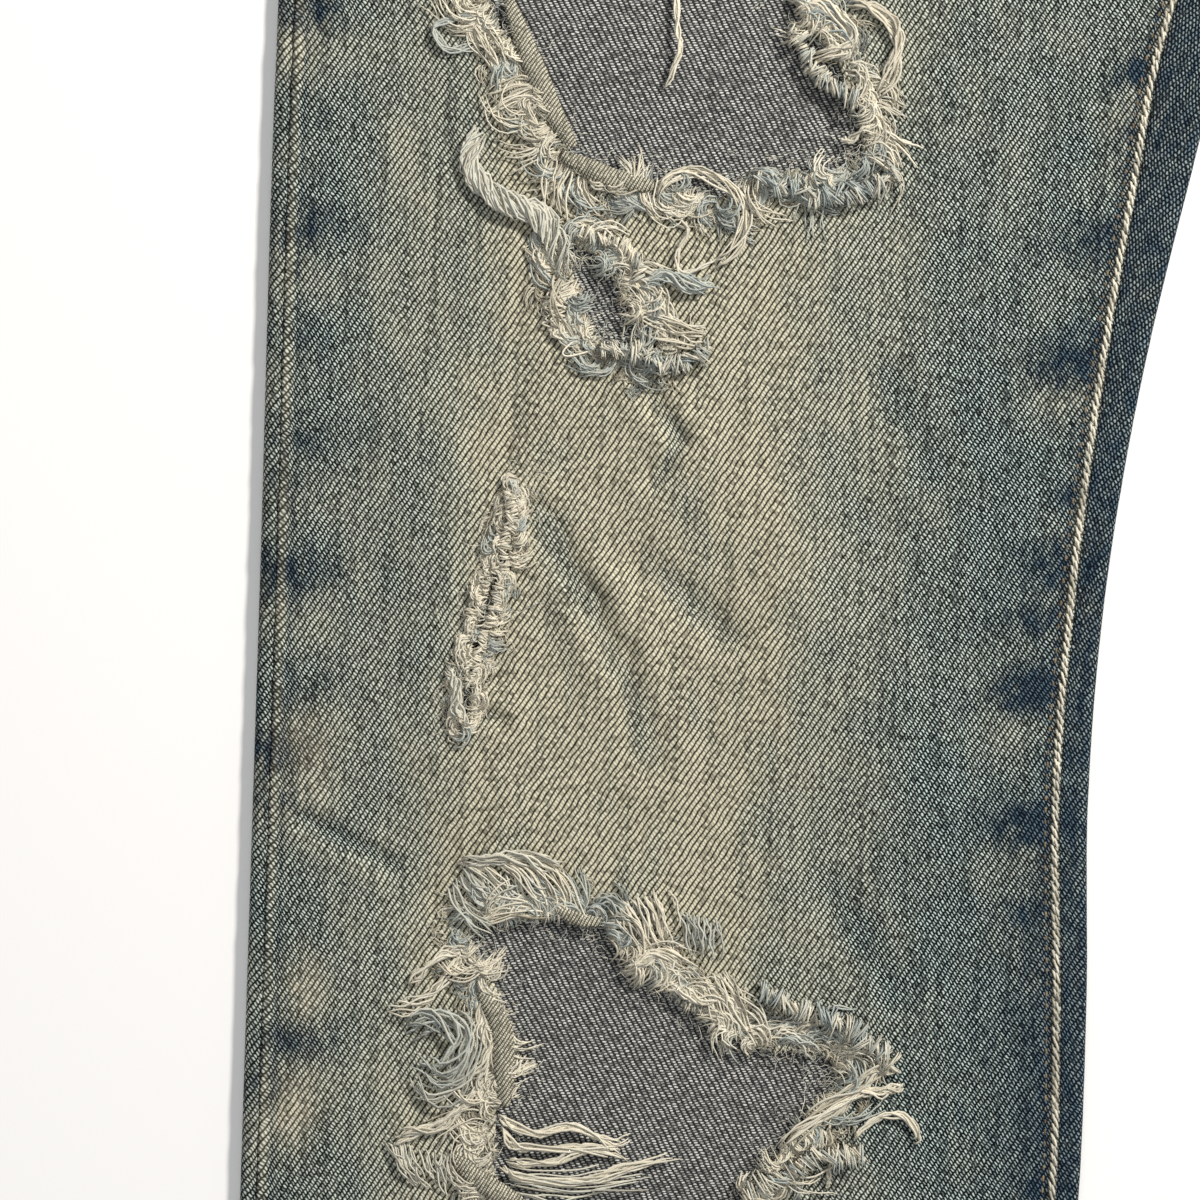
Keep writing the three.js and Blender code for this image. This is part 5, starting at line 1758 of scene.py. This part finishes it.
def frays():
    """Every loose yarn of the worn leg, as a few joined meshes."""
    made = []
    for name, strands, seed in (("upper_fray", UPPER_STRANDS, 1000), ("slit_fray", SLIT_STRANDS, 1200),
                                ("lower_fray", LOWER_STRANDS, 1400)):
        made += yarn_piece(name, strand_yarns(strands, seed))
    for number, (name, rip) in enumerate(zip(("upper", "small_hole", "slit", "lower"), RIPS)):
        seed = 501 + 10 * number
        share = 0.45 if name == "slit" else 1.0
        # The under layer has a low light: painted shade beneath the tufts that lie over it.
        under = edge_tufts(rip, seed + 200, 1.1, 6, 5.5 * share, 0.18, (-0.6, 8.5 * share), 0.7, 0.50, 5)
        over = edge_tufts(rip, seed, 1.8, 10, 9.5 * share, 0.25, (-0.8, 3.0 * share), 1.5, 0.82, 7)
        loops = edge_tufts(rip, seed + 100, 8.0, 6, 15 * share, 0.24, (-0.4, 2.0 * share), 2.2, 0.9, 10)
        made += yarn_piece(f"{name}_edge", (under, over, loops))
        made += yarn_piece(f"{name}_fibres", (fine_fibres(rip, seed + 300, 1.7),))
    made += [turned_lip(f"turned_lip_{i + 1}", route, breadth) for i, (route, breadth) in enumerate(LIPS)]
    return made


# ------------------------------------------------------------------ stage, light and camera


def area_light(name, place, target, size, power, colour):
    data = bpy.data.lights.new(name, "AREA")
    data.shape = "DISK"
    data.size = size
    data.energy = power
    data.color = colour
    lamp = bpy.data.objects.new(name, data)
    lamp.location = place
    lamp.rotation_euler = (Vector(target) - Vector(place)).to_track_quat("-Z", "Y").to_euler()
    bpy.context.scene.collection.objects.link(lamp)
    return lamp


def plain_floor(height):
    look = Look("pale floor", 0.7)
    place = look.node("ShaderNodeTexCoord").outputs["Object"]
    share = look.noise(place, 6.0, 2.0)
    look.colour(look.blend(look.math("MULTIPLY", share, 0.03, clamp=True), (1, 1, 1), (0.96, 0.96, 0.96)))
    look.shader.inputs["Emission Color"].default_value = (1, 1, 1, 1)
    look.shader.inputs["Emission Strength"].default_value = 0.12
    mesh = bpy.data.meshes.new("floor")
    reach = 4.0
    mesh.from_pydata([(-reach, -reach, height), (reach, -reach, height), (reach, reach, height),
                      (-reach, reach, height)], [], [(0, 1, 2, 3)])
    mesh.materials.append(look.material)
    floor = bpy.data.objects.new("floor", mesh)
    bpy.context.scene.collection.objects.link(floor)


# ------------------------------------------------------------------ add-on


def colour_property(name, description, red, green, blue):
    return bpy.props.FloatVectorProperty(
        name=name, description=description, default=srgb(red, green, blue), subtype="COLOR", size=3,
        min=0.0, max=1.0,
    )


def length_property(name, description, default):
    return bpy.props.FloatProperty(
        name=name, description=description, default=default, min=0.0, unit="LENGTH", subtype="DISTANCE",
        precision=5,
    )


class JeansSizes(bpy.types.PropertyGroup):
    """Sizes of the cloth and of its yarns."""

    cloth: length_property("Cloth", "Thickness of the denim", 0.0012)
    hem_cloth: length_property("Hem", "Thickness of the turned hem", 0.0021)
    yarn: length_property("Yarn", "Radius of a loose yarn", 0.00036)
    thread: length_property("Thread", "Radius of the topstitching thread", 0.00034)
    camera_height: length_property("Camera height", "Camera above the cloth", 0.738)
    view_x: length_property("View across", "Middle of the view, across the garment", -0.226)
    view_y: length_property("View along", "Middle of the view, above the crotch", -0.296)


class JeansColours(bpy.types.PropertyGroup):
    """Colours of the wash, of the yarns and of the button."""

    # Ground colours are the gaps between floats, their dark yarn darkened further by painted shade; crown
    # colours are the rubbed pale float tops, where the painted shading of the weave is lightest.
    slate_ground: colour_property("Slate ground", "Between the floats where least faded", 7, 17, 21)
    slate_crown: colour_property("Slate crown", "On the floats where least faded", 230, 252, 248)
    sand_ground: colour_property("Sand ground", "Between the floats where most faded", 36, 33, 18)
    sand_crown: colour_property("Sand crown", "On the floats where most faded", 243, 238, 212)
    # The navy colours also paint the shade down the stitched groove beside each seam bead.
    navy_ground: colour_property("Navy ground", "Between the floats of a dark spot", 5, 17, 32)
    navy_crown: colour_property("Navy crown", "On the floats of a dark spot", 106, 131, 147)
    bare_ground: colour_property("Bare ground", "Between the yarns of a rubbed edge", 84, 80, 64)
    bare_crown: colour_property("Bare crown", "On the yarns of a rubbed edge", 250, 244, 224)
    inside_ground: colour_property("Inside ground", "Gaps of the wrong side", 46, 48, 49)
    inside_crown: colour_property("Inside crown", "Beads of the wrong side", 240, 240, 236)
    weft_yarn: colour_property("Weft yarn", "Loose cream yarn", 254, 247, 227)
    # The yarn shadow colours are painted shade under other yarns and inside rolls, and soiling that varies
    # from yarn to yarn.
    weft_shadow: colour_property("Weft shadow", "Soiled cream yarn", 146, 136, 112)
    warp_yarn: colour_property("Warp yarn", "Loose washed blue yarn", 186, 198, 196)
    warp_shadow: colour_property("Warp shadow", "Loose dark blue yarn", 54, 68, 80)
    thread: colour_property("Thread", "Topstitching thread", 162, 142, 110)
    # The thread shadow colour is soiling of the thread and the painted shade in the grooves of its twist.
    thread_dark: colour_property("Thread shadow", "Soiled topstitching thread", 66, 58, 48)
    button_bright: colour_property("Button", "Rubbed metal of the button", 196, 142, 100)
    button_dark: colour_property("Button tarnish", "Tarnish in the hollows of the button", 62, 46, 36)
    light: colour_property("Key light", "Colour of the main light", 255, 250, 242)


class JEANS_OT_front_panels(bpy.types.Operator):
    """Cut and lay both front panels, the right one with its rips, frayed yarns and stitches"""

    bl_idname = "jeans.front_panels"
    bl_label = "Front panels"

    def execute(self, context):
        for word in ("right", "left"):
            panel = finish_piece(front_panel(word), "denim", f"front_leg_{word}")
            radius = context.scene.jeans_sizes.thread / MM
            trimmings = [stitches_piece(f"{word}_leg_stitches", leg_stitches(word), radius, 110)]
            trimmings.append(ridge_floats(word))
            if word == "right":
                trimmings += frays()
            else:
                trimmings.append(stitches_piece("fly_stitches", fly_stitches(), radius, 111))
            for each in trimmings:
                finish_piece(each, "denim")
        return {"FINISHED"}


class JEANS_OT_pocket_facings(bpy.types.Operator):
    """Lay the hip facings that show in the mouths of the front pockets"""

    bl_idname = "jeans.pocket_facings"
    bl_label = "Pocket facings"

    def execute(self, context):
        for word in ("right", "left"):
            facing = finish_piece(pocket_facing(word), "denim", f"pocket_facing_{word}")
        return {"FINISHED"}


class JEANS_OT_back_panels(bpy.types.Operator):
    """Lay both back panels, which come round the side folds on to the front"""

    bl_idname = "jeans.back_panels"
    bl_label = "Back panels"

    def execute(self, context):
        for word in ("right", "left"):
            panel = finish_piece(back_panel(word), "denim", f"back_leg_{word}")
        return {"FINISHED"}


class JEANS_OT_yokes(bpy.types.Operator):
    """Lay both halves of the back yoke"""

    bl_idname = "jeans.yokes"
    bl_label = "Yokes"

    def execute(self, context):
        for word in ("right", "left"):
            piece = finish_piece(yoke(word), "denim", f"yoke_{word}")
        return {"FINISHED"}


class JEANS_OT_seat_pockets(bpy.types.Operator):
    """Lay the seat pockets, and stitch the back of the garment"""

    bl_idname = "jeans.seat_pockets"
    bl_label = "Seat pockets"

    def execute(self, context):
        radius = context.scene.jeans_sizes.thread / MM
        for word in ("right", "left"):
            piece = finish_piece(seat_pocket(word), "denim", f"back_pocket_{word}")
            stitches = stitches_piece(f"{word}_seat_stitches", seat_stitches(word), radius, 112)
            finish_piece(stitches, "denim")
        return {"FINISHED"}


class JEANS_OT_waistband(bpy.types.Operator):
    """Lay the waistband with its stitches"""

    bl_idname = "jeans.waistband"
    bl_label = "Waistband"

    def execute(self, context):
        band = finish_piece(waistband(), "denim", "waistband")
        radius = context.scene.jeans_sizes.thread / MM
        stitches = finish_piece(stitches_piece("band_stitches", band_stitches(), radius, 113), "denim")
        return {"FINISHED"}


class JEANS_OT_belt_loops(bpy.types.Operator):
    """Lay the five belt loops with their stitches"""

    bl_idname = "jeans.belt_loops"
    bl_label = "Belt loops"

    def execute(self, context):
        cloth = context.scene.jeans_sizes.cloth / MM
        radius = context.scene.jeans_sizes.thread / MM
        on_band = BAND_TOP + GAP + cloth / 2
        on_panel = LEG_HEIGHT + GAP + cloth / 2
        places = [(x, front_waist_y(x), on_band, on_panel) for x in (-FRONT_LOOP_X, FRONT_LOOP_X)]
        places += [(x, back_waist_y(x), cloth / 2, cloth / 2) for x in BACK_LOOP_X]
        for i, place in enumerate(places):
            loop = finish_piece(belt_loop(f"loop_{i + 1}", *place), "denim", f"belt_loop_{i + 1}")
            stitches = stitches_piece(f"loop_{i + 1}_stitches", loop_stitches([place]), radius, 114 + i)
            finish_piece(stitches, "denim")
        return {"FINISHED"}


class JEANS_OT_waist_button(bpy.types.Operator):
    """Set the fastened waist button"""

    bl_idname = "jeans.waist_button"
    bl_label = "Waist button"

    def execute(self, context):
        finish_piece(waist_button(), "button_metal", "waist_button")
        return {"FINISHED"}


class JEANS_OT_stage(bpy.types.Operator):
    """Set the pale floor, the soft lights and the overhead camera"""

    bl_idname = "jeans.stage"
    bl_label = "Stage"

    def execute(self, context):
        scene = context.scene
        sizes = scene.jeans_sizes
        scene.view_settings.view_transform = "Standard"
        plain_floor(FLOOR_Z * MM)
        middle = Vector((sizes.view_x, sizes.view_y + GARMENT_SHIFT * MM, 0.005))
        warm = tuple(scene.jeans_colours.light)
        area_light("key", middle + Vector((1.0, 0.9, 1.13)), middle, 0.25, 29.0, warm)
        area_light("overhead", middle + Vector((-0.2, -0.1, 1.9)), middle, 1.6, 7.0, (1, 1, 1))
        world = bpy.data.worlds.new("studio")
        world.use_nodes = True
        background = world.node_tree.nodes["Background"]
        background.inputs["Color"].default_value = (1, 1, 1, 1)
        background.inputs["Strength"].default_value = 0.2
        scene.world = world
        data = bpy.data.cameras.new("camera")
        data.lens = 85.0
        data.sensor_width = 36.0
        camera = bpy.data.objects.new("camera", data)
        camera.location = middle + Vector((0, 0, sizes.camera_height))
        scene.collection.objects.link(camera)
        scene.camera = camera
        return {"FINISHED"}


class JEANS_PT_build(bpy.types.Panel):
    """The jeans, piece by piece"""

    bl_label = "Ripped Jeans"
    bl_idname = "JEANS_PT_build"
    bl_space_type = "VIEW_3D"
    bl_region_type = "UI"
    bl_category = "Jeans"

    def draw(self, context):
        for operator in OPERATORS:
            self.layout.operator(operator.bl_idname)
        for group in (context.scene.jeans_sizes, context.scene.jeans_colours):
            box = self.layout.box()
            for word in group.__annotations__:
                box.prop(group, word)


OPERATORS = (
    JEANS_OT_stage, JEANS_OT_front_panels, JEANS_OT_pocket_facings, JEANS_OT_back_panels,
    JEANS_OT_yokes, JEANS_OT_seat_pockets, JEANS_OT_waistband, JEANS_OT_belt_loops,
    JEANS_OT_waist_button,
)


def register():
    for each in (JeansSizes, JeansColours, *OPERATORS, JEANS_PT_build):
        bpy.utils.register_class(each)
    bpy.types.Scene.jeans_sizes = bpy.props.PointerProperty(type=JeansSizes)
    bpy.types.Scene.jeans_colours = bpy.props.PointerProperty(type=JeansColours)


def unregister():
    del bpy.types.Scene.jeans_sizes
    del bpy.types.Scene.jeans_colours
    for each in (JEANS_PT_build, *reversed(OPERATORS), JeansColours, JeansSizes):
        bpy.utils.unregister_class(each)


def main():
    register()
    bpy.ops.jeans.stage()
    bpy.ops.jeans.front_panels()
    bpy.ops.jeans.pocket_facings()
    bpy.ops.jeans.back_panels()
    bpy.ops.jeans.yokes()
    bpy.ops.jeans.seat_pockets()
    bpy.ops.jeans.waistband()
    bpy.ops.jeans.belt_loops()
    bpy.ops.jeans.waist_button()


if __name__ == "__main__":
    main()
